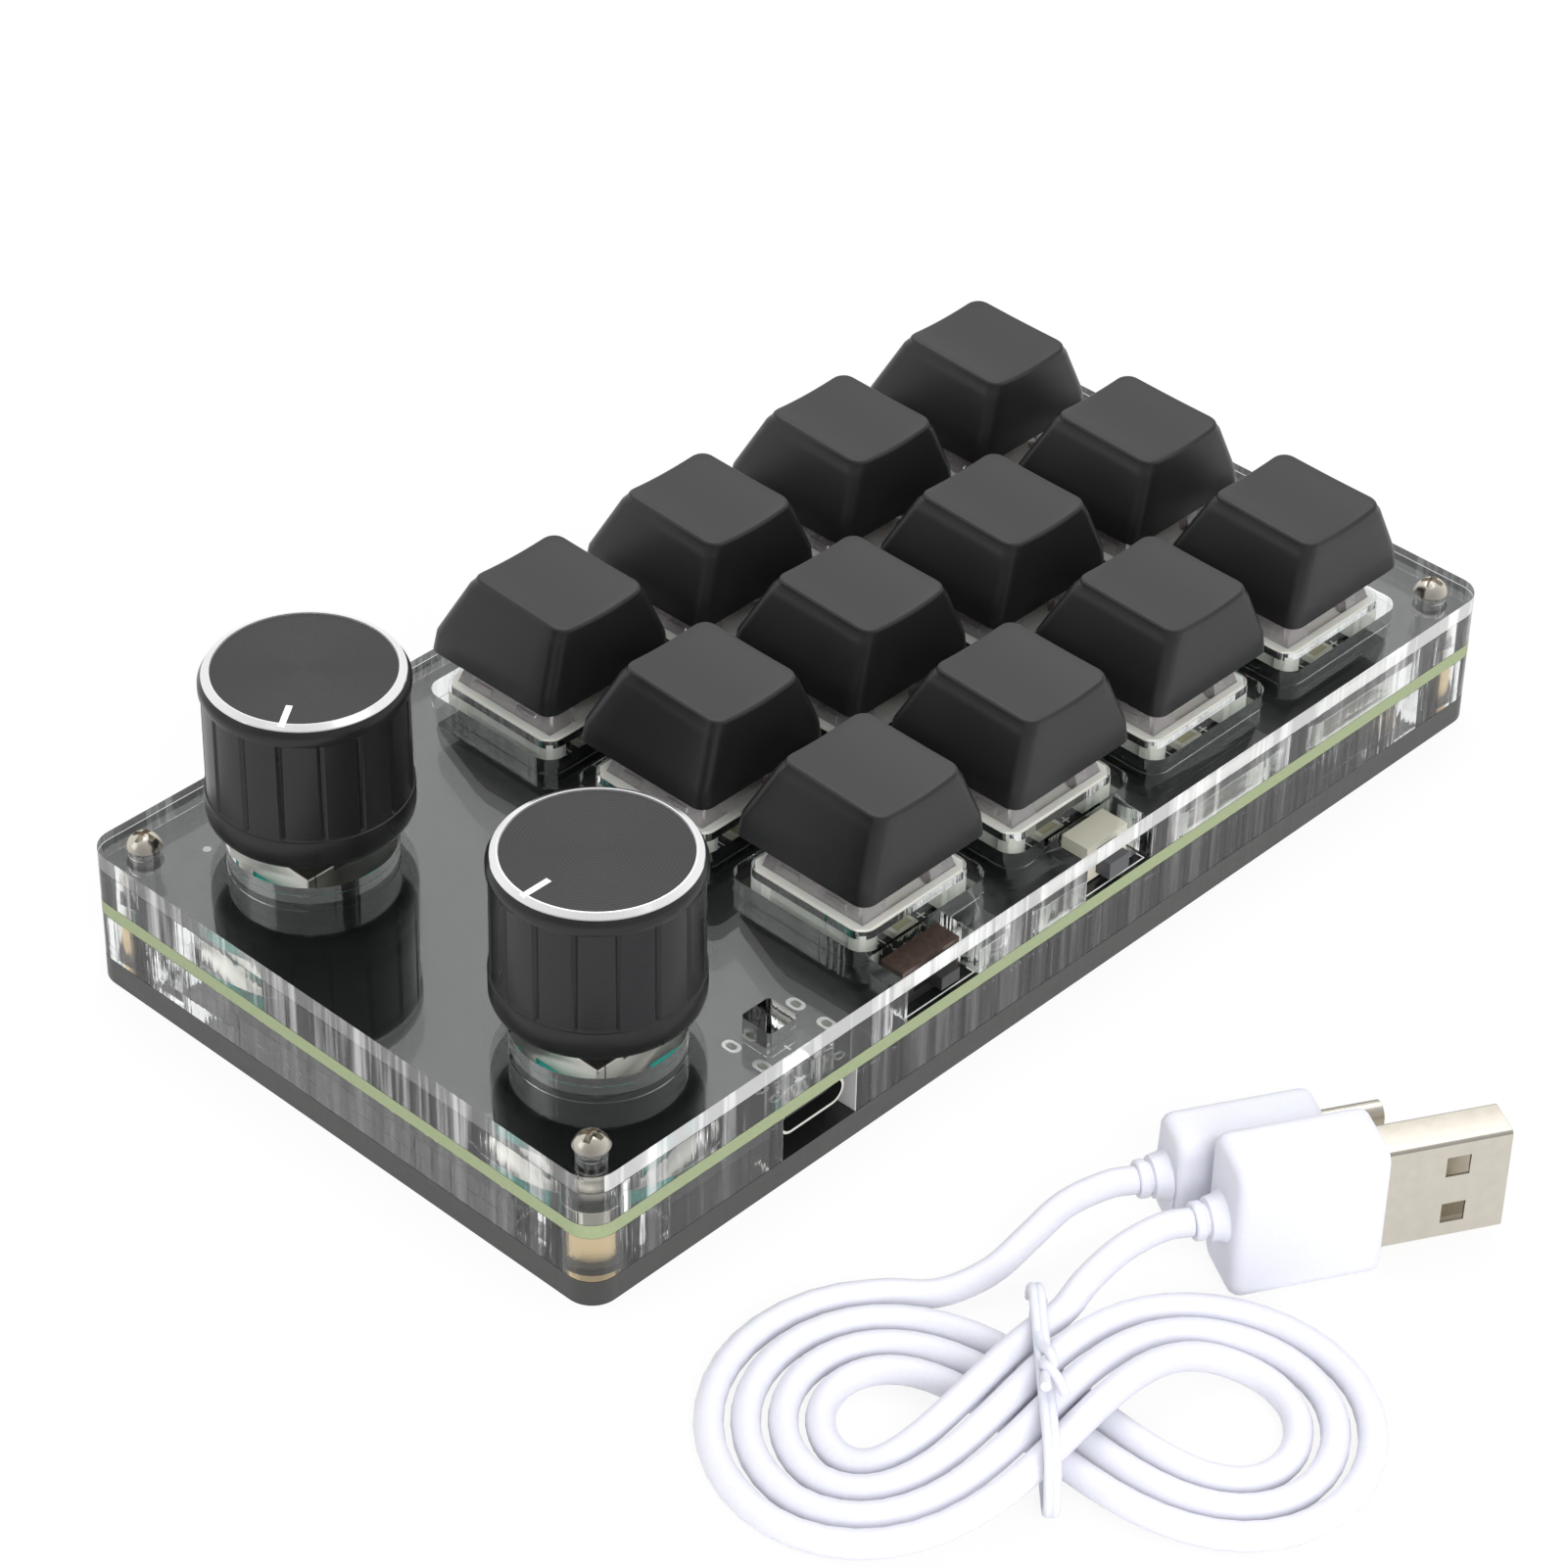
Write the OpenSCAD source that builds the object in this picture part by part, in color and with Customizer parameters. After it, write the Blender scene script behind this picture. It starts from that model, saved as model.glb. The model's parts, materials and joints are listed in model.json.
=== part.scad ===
// One-handed keyboard: twelve keys and two knobs on one circuit board,
// held between clear sheets and a black bottom plate by four long screws.
// Millimetres. +X is the knob end, +Y the long side with the socket, +Z up.
// The origin is the middle of the bottom face.

/* [Plates] */
// Length of every plate, along X
plate_length = 135; // [133:0.5:150]
// Width of every plate, along Y
plate_width = 72; // [71:0.5:84]
// Radius of the plates' corners
corner_radius = 3; // [1:0.5:4]
// Thickness of the black bottom plate
bottom_thickness = 3; // [2.5:0.5:5]
// Thickness of the clear frame under the board
frame_thickness = 5.5; // [5:0.5:8]
// Thickness of the circuit board
board_thickness = 1.6; // [1.2:0.2:2]
// Thickness of the clear sheet on the board
spacer_thickness = 4; // [3.8:0.1:4.4]
// Thickness of the clear sheet on top
top_thickness = 2; // [1.5:0.1:2]
// Width of the frame's walls between its corner blocks
frame_wall = 4; // [3:0.5:5]
// Side of the frame's square corner blocks
corner_block = 12; // [10:0.5:13]

/* [Keys] */
// Keys along X
key_columns = 4; // [4:1:4]
// Keys along Y
key_rows = 3; // [3:1:3]
// Distance from key to key, along X
key_pitch = 22; // [20:0.5:22]
// Distance from the plain end to the nearest column of keys
key_end_inset = 16.75; // [15.5:0.25:18.5]
// Distance from the socket side to the nearest row of keys
key_side_inset = 15.2; // [14.8:0.1:16.5]
// Side of the square window round a switch
window_side = 18; // [16.5:0.5:18.5]
// Radius of a window's corners
window_radius = 2; // [1:0.5:3]
// How far a key goes down
key_travel = 4; // [3:0.1:4]

/* [Keycap] */
// Side of the keycap's square foot
cap_foot = 18.1; // [17.5:0.1:18.4]
// Height of a keycap
cap_height = 9.2; // [8:0.1:11]
// Width of the keycap's top, along X
cap_top_width = 12; // [11:0.5:13.5]
// Depth of the keycap's top, along Y
cap_top_depth = 13.6; // [12:0.1:14]
// How far the top is set back on the user's side
cap_top_setback = 3.45; // [2.5:0.05:4]
// Radius of the keycap's upright corners
cap_corner = 1.5; // [1:0.1:2.5]
// Wall of a keycap
cap_wall = 1.4; // [1.1:0.1:1.5]
// Radius of the hollow pressed into the top
cap_dish_radius = 38; // [28:1:60]
// Gap between a pressed keycap and the top sheet
cap_floor_gap = 0.2; // [0.1:0.1:1]

/* [Switch] */
// Side of a switch's flange
flange_side = 15.6; // [15:0.1:16]
// Side of a switch's body under the flange
switch_body = 14; // [13.8:0.1:14.2]
// Height of the flange's top over the board
flange_top = 6; // [5.8:0.1:6.2]
// Thickness of the flange
flange_thickness = 1.1; // [0.9:0.1:1.4]
// Height of the upper housing's top over the board
switch_height = 11.6; // [11.4:0.1:11.8]
// Length of the cross on the stem
cross_length = 4; // [3.9:0.05:4.1]
// Thickness of the cross on the stem
cross_width = 1.2; // [1.1:0.05:1.35]
// Gap round the sliding stem
stem_clearance = 0.1; // [0.08:0.01:0.15]

/* [Knobs] */
// Distance from the knob end to both knobs' middles
knob_end_inset = 17.2; // [16:0.1:18]
// Distance from the user's side to the nearer knob's middle
front_knob_inset = 14.8; // [13:0.1:17]
// Distance from the socket side to the nearer knob's middle
rear_knob_inset = 16.5; // [15:0.1:18]
// Diameter of a knob
knob_diameter = 21; // [18:0.5:22]
// Height of a knob
knob_height = 17.3; // [16:0.1:19]
// Height of a knob's foot over the board
knob_lift = 9.3; // [8.8:0.1:10]
// Grooves round a knob
knob_grooves = 16; // [12:1:24]
// Angle of the pointer on the user's side, seen from above
front_pointer = 35; // [0:5:355]
// Angle of the pointer on the socket side, seen from above
rear_pointer = 0; // [0:5:355]
// How far a knob goes down as a button
knob_travel = 0.5; // [0.3:0.1:0.6]
// Diameter of the round holes round the encoders
encoder_hole = 17.4; // [17.2:0.1:18]
// Side of an encoder's metal case
encoder_side = 12; // [11.6:0.1:12]
// Height of an encoder's case over the board
encoder_height = 6.8; // [6.5:0.1:7]
// Diameter of a shaft
shaft_diameter = 6; // [5.8:0.1:6.2]
// How far a shaft stands out of its case
shaft_length = 15; // [14:0.5:15.5]

/* [Fasteners] */
// Inset of the screws from both edges of a corner
screw_inset = 4.2; // [4:0.1:5]
// Diameter of a screw's thread
screw_diameter = 2; // [1.6:0.1:2.5]
// Diameter of a screw's pan head
head_diameter = 3.8; // [3.5:0.1:4.4]
// Height of a screw's pan head
head_height = 1.4; // [1:0.1:1.8]
// Diameter of the screw holes in the clear sheets
sheet_hole = 3.2; // [2.8:0.1:3.4]
// Diameter of a brass post
post_diameter = 4.3; // [4:0.1:5]
// Diameter of the holes round the posts in the frame
post_hole = 6.2; // [5.5:0.1:6.4]

/* [Socket side] */
// Distance from the knob end to the socket's middle
socket_inset = 30.35; // [29.55:0.2:31.55]
// Gap between the socket and the frame's cut, on the slide switch's side
cut_far_gap = 1.1; // [0.4:0.1:1.5]
// Gap between the socket and the frame's cut, on the knobs' side
cut_near_gap = 0.15; // [0.15:0.05:0.8]
// How far the socket's mouth lies inside the edge
socket_setback = 0.6; // [0.4:0.1:3]
// Distance from the socket's middle to the slide switch's middle
slide_offset = 17.95; // [17.15:0.1:18.35]
// Width of the notch at the slide switch
slide_notch = 10.4; // [9.5:0.1:11]
// How far the slide switch moves
slide_travel = 2; // [1.5:0.1:2.2]
// Distance from the slide switch's middle to the side button's middle
button_offset = 26.4; // [25.7:0.1:27.2]
// Width of the notch at the side button
button_notch = 10; // [9:0.1:11]
// How far the side button goes in
button_travel = 0.4; // [0.2:0.05:0.5]
// Depth of both notches, from the edge
notch_depth = 5.4; // [5.2:0.1:5.6]
// Distance from the socket's middle to the power light's middle, along X
light_offset = 1.25; // [0.15:0.1:3.15]
// Distance from the socket side to the power light's middle
light_inset = 5.3; // [5:0.1:6]
// Side of the small square hole over the power light
light_hole = 4; // [3.5:0.1:4.5]

/* [Cable] */
// Diameter of the cable
cable_diameter = 2.8; // [2.6:0.1:2.8]
// Distance from strand to strand in the tied cable
strand_pitch = 3.4; // [3.4:0.1:3.6]
// X of the crossing in the tied cable
cable_x = 49; // [44:1:55]
// Y of the crossing in the tied cable
cable_y = 77; // [76:1:95]
// Way the plugs point, seen from above
cable_direction = 135; // [125:5:145]

/* [Hidden] */
$fn = 48;
e = 0.01;

frame_z = bottom_thickness;
board_z = frame_z + frame_thickness;
sheet_z = board_z + board_thickness;
top_z = sheet_z + spacer_thickness;
stack_top = top_z + top_thickness;

half_l = plate_length / 2;
half_w = plate_width / 2;
row_share = 11 / 36;
row_pitch = plate_width * row_share;
first_key_x = key_end_inset - half_l + key_pitch * (key_columns - 1);
first_key_y = half_w - key_side_inset;
knob_x = half_l - knob_end_inset;
front_knob_y = front_knob_inset - half_w;
rear_knob_y = half_w - rear_knob_inset;
socket_x = half_l - socket_inset;
slide_x = socket_x - slide_offset;
button_x = slide_x - button_offset;
light_x = socket_x + light_offset;
light_y = half_w - light_inset;
cap_foot_z = stack_top + cap_floor_gap + key_travel;

// Outlines shared by the plates

module rounded_rect(l, w, r) {
  square([l - 2 * r, w], center = true);
  square([l, w - 2 * r], center = true);
  for (x = [-1, 1], y = [-1, 1])
    translate([x * (l / 2 - r), y * (w / 2 - r)])
      circle(r = r);
}

module plate_outline() {
  rounded_rect(plate_length, plate_width, corner_radius);
}

module at_corners() {
  for (x = [-1, 1], y = [-1, 1])
    translate([x * (half_l - screw_inset), y * (half_w - screw_inset)])
      children();
}

// Keys count from the knob end of the socket row, row by row
function key_x(n) = first_key_x - key_pitch * ((n - 1) % key_columns);
function key_y(n) = first_key_y - row_pitch * floor((n - 1) / key_columns);

module at_keys() {
  for (n = [1 : key_columns * key_rows])
    translate([key_x(n), key_y(n)])
      children();
}

module at_encoders() {
  for (y = [front_knob_y, rear_knob_y])
    translate([knob_x, y])
      children();
}

module at_key(n) {
  translate([key_x(n), key_y(n), sheet_z])
    children();
}

// Bottom plate, with countersunk holes for the four bottom screws

countersink_depth = 1.2;
bottom_head = 3.8;
thread_gap = 0.1;

module bottom_plate() {
  color([0.05, 0.05, 0.05])
    difference() {
      linear_extrude(bottom_thickness)
        plate_outline();
      at_corners() {
        translate([0, 0, -e])
          cylinder(d = screw_diameter + 2 * thread_gap, h = bottom_thickness + 2 * e);
        translate([0, 0, -e])
          cylinder(d1 = bottom_head + 2 * thread_gap, d2 = screw_diameter + 2 * thread_gap, h = countersink_depth + e);
      }
    }
}

// Clear frame: a ring with a square block at each corner, cut open at the socket

inner_corner = 1;

module frame_hollow() {
  difference() {
    rounded_rect(plate_length - 2 * frame_wall, plate_width - 2 * frame_wall, inner_corner);
    for (x = [-1, 1], y = [-1, 1])
      translate([x * half_l, y * half_w])
        rounded_rect(2 * corner_block, 2 * corner_block, inner_corner);
  }
}

module middle_frame() {
  color([0.85, 0.9, 0.9, 0.35])
    translate([0, 0, frame_z])
      linear_extrude(frame_thickness)
        difference() {
          plate_outline();
          frame_hollow();
          at_corners()
            circle(d = post_hole);
          translate([socket_x - socket_width / 2 - cut_far_gap, half_w - frame_wall - inner_corner])
            square([cut_far_gap + socket_width + cut_near_gap, frame_wall + 2 * inner_corner]);
        }
}

// Circuit board, with every hole that a part's leg or peg goes through

peg_diameter = 3.9;
pin_diameter = 1.6;
pin_offset = 5.08;
contact_a = [3.81, -2.54];
contact_b = [-2.54, -5.08];
contact_hole = 1.5;
peg_gap = 0.1;
tab_front = 2.6;
tab_rear = 6.6;
tab_length = 1.2;
tab_thickness = 0.4;

module socket_tab_places() {
  for (x = [-tab_x, tab_x], y = [tab_front, tab_rear])
    translate([socket_x + x, half_w - socket_setback - y])
      children();
}

encoder_pin_row = 7;
encoder_pin_pitch = 2.5;
encoder_pin_hole = 1;

module encoder_pin_places() {
  for (x = [-1, 0, 1])
    translate([-encoder_pin_row, x * encoder_pin_pitch])
      children();
  for (x = [-1, 1])
    translate([encoder_pin_row, x * encoder_pin_pitch])
      children();
}

module circuit_board() {
  color([0.08, 0.1, 0.08])
    translate([0, 0, board_z])
      linear_extrude(board_thickness)
        difference() {
          plate_outline();
          at_corners()
            circle(d = screw_diameter + 4 * thread_gap);
          at_keys() {
            circle(d = peg_diameter + 2 * peg_gap);
            for (x = [-pin_offset, pin_offset])
              translate([x, 0])
                circle(d = pin_diameter + 2 * peg_gap);
            translate(contact_a)
              circle(d = contact_hole);
            translate(contact_b)
              circle(d = contact_hole);
          }
          at_encoders()
            encoder_pin_places()
              circle(d = encoder_pin_hole);
          socket_tab_places()
            rounded_rect(tab_thickness + 4 * peg_gap, tab_length + 4 * peg_gap, tab_thickness / 2 + peg_gap);
        }
}

// The two clear sheets over the board

module sheet_cuts() {
  at_corners()
    circle(d = sheet_hole);
  at_keys()
    rounded_rect(window_side, window_side, window_radius);
  at_encoders()
    circle(d = encoder_hole);
  translate([light_x, light_y])
    rounded_rect(light_hole, light_hole, light_hole / 8);
}

module edge_notch(x, w) {
  translate([x - w / 2, half_w - notch_depth])
    square([w, notch_depth + 1]);
}

module spacer_sheet() {
  color([0.85, 0.9, 0.9, 0.35])
    translate([0, 0, sheet_z])
      linear_extrude(spacer_thickness)
        difference() {
          plate_outline();
          sheet_cuts();
          edge_notch(slide_x, slide_notch);
          edge_notch(button_x, button_notch);
        }
}

module top_sheet() {
  color([0.85, 0.9, 0.9, 0.35])
    translate([0, 0, top_z])
      linear_extrude(top_thickness)
        difference() {
          plate_outline();
          sheet_cuts();
        }
}

// Fasteners: a brass post in each corner block takes a long screw from above
// and a short countersunk one from below

screw_reach = 2.4;
bottom_reach = 2.2;
recess_width = 0.7;
recess_length = 2.3;
recess_depth = 0.8;
thread_fit = 0.03;

module cross_recess(length, width, depth) {
  for (a = [0, 90])
    rotate([0, 0, a])
      translate([-length / 2, -width / 2, 0])
        cube([length, width, depth]);
}

module pan_screw(reach) {
  dome = (head_diameter * head_diameter / 4 + head_height * head_height) / (2 * head_height);
  difference() {
    union() {
      intersection() {
        translate([0, 0, head_height - dome])
          sphere(r = dome);
        cylinder(d = head_diameter, h = head_height);
      }
      translate([0, 0, -reach])
        cylinder(d = screw_diameter, h = reach + head_height / 2);
    }
    translate([0, 0, head_height - recess_depth])
      cross_recess(recess_length, recess_width, recess_depth + 1);
  }
}

module corner_screws() {
  color([0.75, 0.73, 0.7])
    translate([0, 0, stack_top])
      at_corners()
        rotate([0, 0, 20])
          pan_screw(stack_top - board_z + screw_reach);
}

module brass_posts() {
  color([0.78, 0.6, 0.3])
    translate([0, 0, frame_z])
      at_corners()
        difference() {
          cylinder(d = post_diameter, h = frame_thickness);
          translate([0, 0, frame_thickness - screw_reach - e])
            cylinder(d = screw_diameter + 2 * thread_fit, h = screw_reach + 2 * e);
          translate([0, 0, -e])
            cylinder(d = screw_diameter + 2 * thread_fit, h = bottom_reach + 2 * e);
        }
}

module bottom_screws() {
  color([0.6, 0.6, 0.6])
    at_corners()
      difference() {
        union() {
          cylinder(d1 = bottom_head, d2 = screw_diameter, h = countersink_depth);
          cylinder(d = screw_diameter, h = frame_z + bottom_reach);
        }
        translate([0, 0, -e])
          cross_recess(recess_length, recess_width, recess_depth);
      }
}

// Key switch, measured from the board's top face
// The housing stands on corner legs and is open towards the light

body_foot = 0.4;
leg_side = 2.3;
flange_rim = 0.9;
seat_depth = 0.8;
well_length = 10.4;
well_width = 8;
well_floor = 1;
light_bay = 9.4;
light_bay_y = 4.4;
peg_length = 3.2;
pin_length = 2.8;
guide_diameter = 3.3;
guide_bore = 2.2;
guide_height = 2.4;
guide_reach = 1.6;
flange_chamfer = 1;

module chamfered_square(s, c) {
  polygon([[-s / 2 + c, -s / 2], [s / 2 - c, -s / 2], [s / 2, -s / 2 + c], [s / 2, s / 2 - c],
    [s / 2 - c, s / 2], [-s / 2 + c, s / 2], [-s / 2, s / 2 - c], [-s / 2, -s / 2 + c]]);
}

module box(l, w, z0, z1) {
  translate([-l / 2, -w / 2, z0])
    cube([l, w, z1 - z0]);
}

module switch_housing() {
  flange_foot = flange_top - flange_thickness;
  difference() {
    union() {
      translate([0, 0, flange_foot])
        linear_extrude(flange_thickness)
          chamfered_square(flange_side, flange_chamfer);
      box(switch_body, switch_body, body_foot, flange_foot + e);
      for (x = [-1, 1], y = [-1, 1])
        translate([x * (flange_side - leg_side) / 2, y * (flange_side - leg_side) / 2])
          intersection() {
            box(leg_side, leg_side, 0, flange_foot + e);
            rotate([0, 0, 45])
              box(leg_side * 1.15, leg_side * 1.15, 0, flange_foot + e);
          }
    }
    translate([-light_bay / 2, light_bay_y, -e])
      cube([light_bay, switch_body, flange_foot + e]);
    box(well_length, well_width, well_floor, flange_top + 1);
    box(flange_side - 2 * flange_rim, flange_side - 2 * flange_rim, flange_top - seat_depth, flange_top + 1);
    cylinder(d = guide_bore, h = flange_top);
  }
  difference() {
    union() {
      translate([0, 0, well_floor - e])
        cylinder(d = guide_diameter, h = guide_height + e);
      translate([0, 0, -peg_length])
        cylinder(d = peg_diameter, h = peg_length + well_floor);
      for (x = [-pin_offset, pin_offset])
        translate([x, 0, -pin_length])
          cylinder(d = pin_diameter, h = pin_length + well_floor);
    }
    translate([0, 0, -guide_reach])
      cylinder(d = guide_bore, h = guide_reach + well_floor + guide_height + 1);
  }
}

module switch_housings() {
  color([0.88, 0.88, 0.83])
    translate([0, 0, sheet_z])
      at_keys()
        switch_housing();
}

// Upper housing: a tapered cover seated in the flange, open where the stem slides

cover_foot = 13.6;
cover_top_x = 10.4;
cover_top_y = 10.6;
cover_wall = 1.1;
stem_x = 7.2;
stem_y = 5.6;
lens_slot = 6.4;
lens_y = 4.3;
clip_width = 2.6;
clip_reach = 1;
clip_y = 3.2;
clip_height = 1.2;

module frustum(foot_x, foot_y, head_x, head_y, h) {
  intersection() {
    translate([0, foot_y, 0])
      rotate([90, 0, 0])
        linear_extrude(2 * foot_y)
          polygon([[-foot_x / 2, 0], [foot_x / 2, 0], [head_x / 2, h], [-head_x / 2, h]]);
    translate([-foot_x, 0, 0])
      rotate([90, 0, 90])
        linear_extrude(2 * foot_x)
          polygon([[-foot_y / 2, 0], [foot_y / 2, 0], [head_y / 2, h], [-head_y / 2, h]]);
  }
}

module switch_cover() {
  foot = flange_top - seat_depth;
  rise = switch_height - flange_top;
  difference() {
    union() {
      box(cover_foot, cover_foot, foot, flange_top + e);
      translate([0, 0, flange_top])
        frustum(cover_foot, cover_foot, cover_top_x, cover_top_y, rise);
      for (x = [-1, 1], y = [-clip_y, clip_y])
        translate([x * (cover_foot - clip_reach) / 2, y, flange_top])
          box(clip_reach, clip_width, -e, clip_height);
    }
    translate([0, 0, foot - e])
      frustum(cover_foot - 2 * cover_wall, cover_foot - 2 * cover_wall,
        cover_top_x - 2 * cover_wall, cover_top_y - 2 * cover_wall, rise + seat_depth - cover_wall);
    box(stem_x + 2 * stem_clearance, stem_y + 2 * stem_clearance, foot, switch_height + 1);
    translate([-lens_slot / 2, lens_y, foot - e])
      cube([lens_slot, cover_foot, rise * 0.7]);
  }
}

module switch_covers() {
  color([0.92, 0.9, 0.9, 0.6])
    translate([0, 0, sheet_z])
      at_keys()
        switch_cover();
}

// Stem: a slider with the keycap's cross on top and a pin in the guide below

stem_rest_foot = 5.6;
stem_collar = 0.4;
wing_x = 9;
wing_y = 3;
wing_top = 8.8;
spring_bore = 4.9;
spring_roof = 10.6;
stem_pin = 1.9;
stem_pin_foot = 3;
cross_height = 3.6;

module cross(l, w, z0, z1) {
  box(l, w, z0, z1);
  box(w, l, z0, z1);
}

module key_stem(n) {
  color([0.55, 0.2, 0.18])
    at_key(n) {
      difference() {
        union() {
          box(stem_x, stem_y, stem_rest_foot, switch_height + stem_collar);
          box(wing_x, wing_y, stem_rest_foot, wing_top);
        }
        translate([0, 0, stem_rest_foot - e])
          cylinder(d = spring_bore, h = spring_roof - stem_rest_foot + e);
      }
      translate([0, 0, stem_pin_foot])
        cylinder(d = stem_pin, h = spring_roof - stem_pin_foot + e);
      cross(cross_length, cross_width, switch_height + stem_collar - e, switch_height + cross_height);
    }
}

spring_outer = 4.6;
spring_inner = 3.7;

module switch_springs() {
  color([0.7, 0.7, 0.72])
    translate([0, 0, sheet_z])
      at_keys()
        translate([0, 0, well_floor])
          difference() {
            cylinder(d = spring_outer, h = spring_roof - well_floor);
            translate([0, 0, -e])
              cylinder(d = spring_inner, h = spring_roof - well_floor + 2 * e);
          }
}

contact_width = 1;
contact_thickness = 0.3;
contact_length = 3.3;

module switch_contacts() {
  color([0.8, 0.7, 0.45])
    translate([0, 0, sheet_z])
      at_keys()
        for (p = [contact_a, contact_b])
          translate(p)
            box(contact_width, contact_thickness, -contact_length, body_foot);
}

// A surface-mounted light sits in each housing's open side, and one more by the socket

led_length = 3.2;
led_width = 2.2;
led_height = 0.8;
led_y = 5.6;
power_led = 1.6;

module board_lights() {
  color([0.85, 0.85, 0.75])
    translate([0, 0, sheet_z]) {
      at_keys()
        translate([0, led_y])
          box(led_length, led_width, 0, led_height);
      translate([light_x, light_y])
        box(power_led, power_led / 2, 0, led_height);
    }
}

// Keycap: a hollow tapered shell with a dished top and a cross socket

cap_top_tilt = 1.7;
cap_upright = 2.2;
cap_bulge = 0.3;
cap_roof = 1.6;
dish_depth = 0.45;
socket_wall = 5.5;
socket_gap = 0.03;
socket_lift = 0.2;
slice = 0.05;
tilt_drop = 0.2;

module cap_slice(x0, x1, y0, y1, r, z) {
  translate([(x0 + x1) / 2, (y0 + y1) / 2, z])
    linear_extrude(slice)
      rounded_rect(x1 - x0, y1 - y0, r, $fn = 32);
}

module cap_solid(inset, roof) {
  f = cap_foot / 2 - inset;
  t = cap_top_width / 2 - inset * 0.9;
  y0 = -cap_foot / 2 + cap_top_setback;
  y1 = y0 + cap_top_depth;
  r = max(cap_corner - inset * 0.6, 0.4);
  s = f - cap_bulge;
  hull() {
    cap_slice(-f, f, -f, f, r, 0);
    cap_slice(-s, s, -s, s + cap_bulge * 0.7, r, cap_upright);
    cap_slice(-t, t, y0 + inset * 0.9, y1 - inset * 0.9, r, roof - slice);
  }
}

module keycap(n) {
  color([0.07, 0.07, 0.07])
    translate([key_x(n), key_y(n), cap_foot_z]) {
      difference() {
        cap_solid(0, cap_height);
        translate([0, 0, -slice])
          cap_solid(cap_wall, cap_height - cap_roof);
        translate([0, 0, cap_height - dish_depth - tilt_drop / 2])
          rotate([-cap_top_tilt, 0, 0])
            translate([0, cap_foot, cap_dish_radius])
              rotate([90, 0, 0])
                cylinder(r = cap_dish_radius, h = 2 * cap_foot, $fn = 180);
      }
      difference() {
        tube_foot = sheet_z + switch_height + stem_collar + socket_lift - cap_foot_z;
        translate([0, 0, tube_foot])
          cylinder(d = socket_wall, h = cap_height - cap_roof - tube_foot);
        cross(cross_length + 2 * socket_gap, cross_width + 2 * socket_gap, tube_foot - 1,
          sheet_z + switch_height + cross_height + socket_lift - cap_foot_z);
      }
    }
}

// Encoder: a plastic base clamped in a metal case with a round neck

encoder_wall = 0.4;
encoder_well = 8.4;
encoder_floor = 0.8;
encoder_skirt = 3.2;
encoder_lug_width = 2.2;
neck_diameter = 7;
neck_height = 5;
shaft_clearance = 0.05;
shaft_foot = 2.1;
disc_diameter = 5;
disc_thickness = 0.7;
encoder_leg = 0.6;
encoder_leg_length = 2.6;
base_gap = 0.05;

module encoder_bases() {
  base = encoder_side - 2 * encoder_wall - 2 * base_gap;
  color([0.15, 0.6, 0.55])
    translate([0, 0, sheet_z])
      at_encoders()
        difference() {
          union() {
            box(base, base, 0, encoder_height - 1);
            box(base + 1.4, base - 4, 0, 1.6);
            encoder_pin_places()
              translate([0, 0, -encoder_leg_length])
                cylinder(d = encoder_leg, h = encoder_leg_length + 0.6);
            for (x = [-1, 1])
              translate([x * encoder_pin_row, 0])
                box(1.6, 2 * encoder_pin_pitch + 1.2, 0, 1.2);
          }
          translate([0, 0, encoder_floor])
            cylinder(d = encoder_well, h = encoder_height);
        }
}

module encoder_cases() {
  inner = encoder_side - 2 * encoder_wall;
  color([0.75, 0.75, 0.72])
    translate([0, 0, sheet_z])
      at_encoders()
        difference() {
          union() {
            box(encoder_side, encoder_side, encoder_skirt, encoder_height);
            for (y = [-1, 1])
              translate([0, y * (encoder_side - encoder_wall) / 2])
                box(encoder_lug_width, encoder_wall, 0, encoder_skirt + e);
            for (x = [-1, 1], y = [-3.6, 3.6])
              translate([x * (encoder_side - encoder_wall) / 2, y])
                box(encoder_wall, encoder_lug_width, 1.7, encoder_skirt + e);
            translate([0, 0, encoder_height - e])
              cylinder(d = neck_diameter, h = neck_height);
          }
          box(inner, inner, -1, encoder_height - 2 * encoder_wall);
          cylinder(d = shaft_diameter + 2 * shaft_clearance, h = encoder_height + neck_height + 1);
        }
}

module push_disc(y) {
  color([0.3, 0.3, 0.32])
    translate([knob_x, y, sheet_z + shaft_foot - disc_thickness])
      cylinder(d = disc_diameter, h = disc_thickness);
}

// Shaft with a flat along its upper end

flat_depth = 1.5;
flat_length = 9;
collar_diameter = 7.6;
collar_height = 1;

module flatted_shaft(d, length, flat_from, flat) {
  difference() {
    cylinder(d = d, h = length);
    translate([-d, d / 2 - flat, flat_from])
      cube([2 * d, d, length]);
  }
}

module shaft(y) {
  length = encoder_height + shaft_length - shaft_foot;
  color([0.72, 0.72, 0.7])
    translate([knob_x, y, sheet_z + shaft_foot]) {
      flatted_shaft(shaft_diameter, length, length - flat_length, flat_depth);
      cylinder(d = collar_diameter, h = collar_height);
    }
}

// Knob: a turned shell with a bright bevelled edge, sixteen grooves and a pointer line,
// pressed over a plastic core that grips the shaft

knob_ring = 9.25;
ring_width = 0.8;
bevel_drop = 0.35;
knob_band = 2;
band_foot = 3.6;
groove_inset = 0.35;
groove_diameter = 0.9;
shoulder = 0.1;
knob_foot_round = 1.2;
shell_wall = 1.1;
knob_roof = 1.6;
disc_recess = 0.15;
pointer_length = 3.4;
pointer_width = 0.7;
pointer_from = 6.2;
core_gap = 0.05;
core_lift = 0.6;
neck_room = 5.6;
neck_gap = 1.2;
shaft_end_gap = 0.3;

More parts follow.
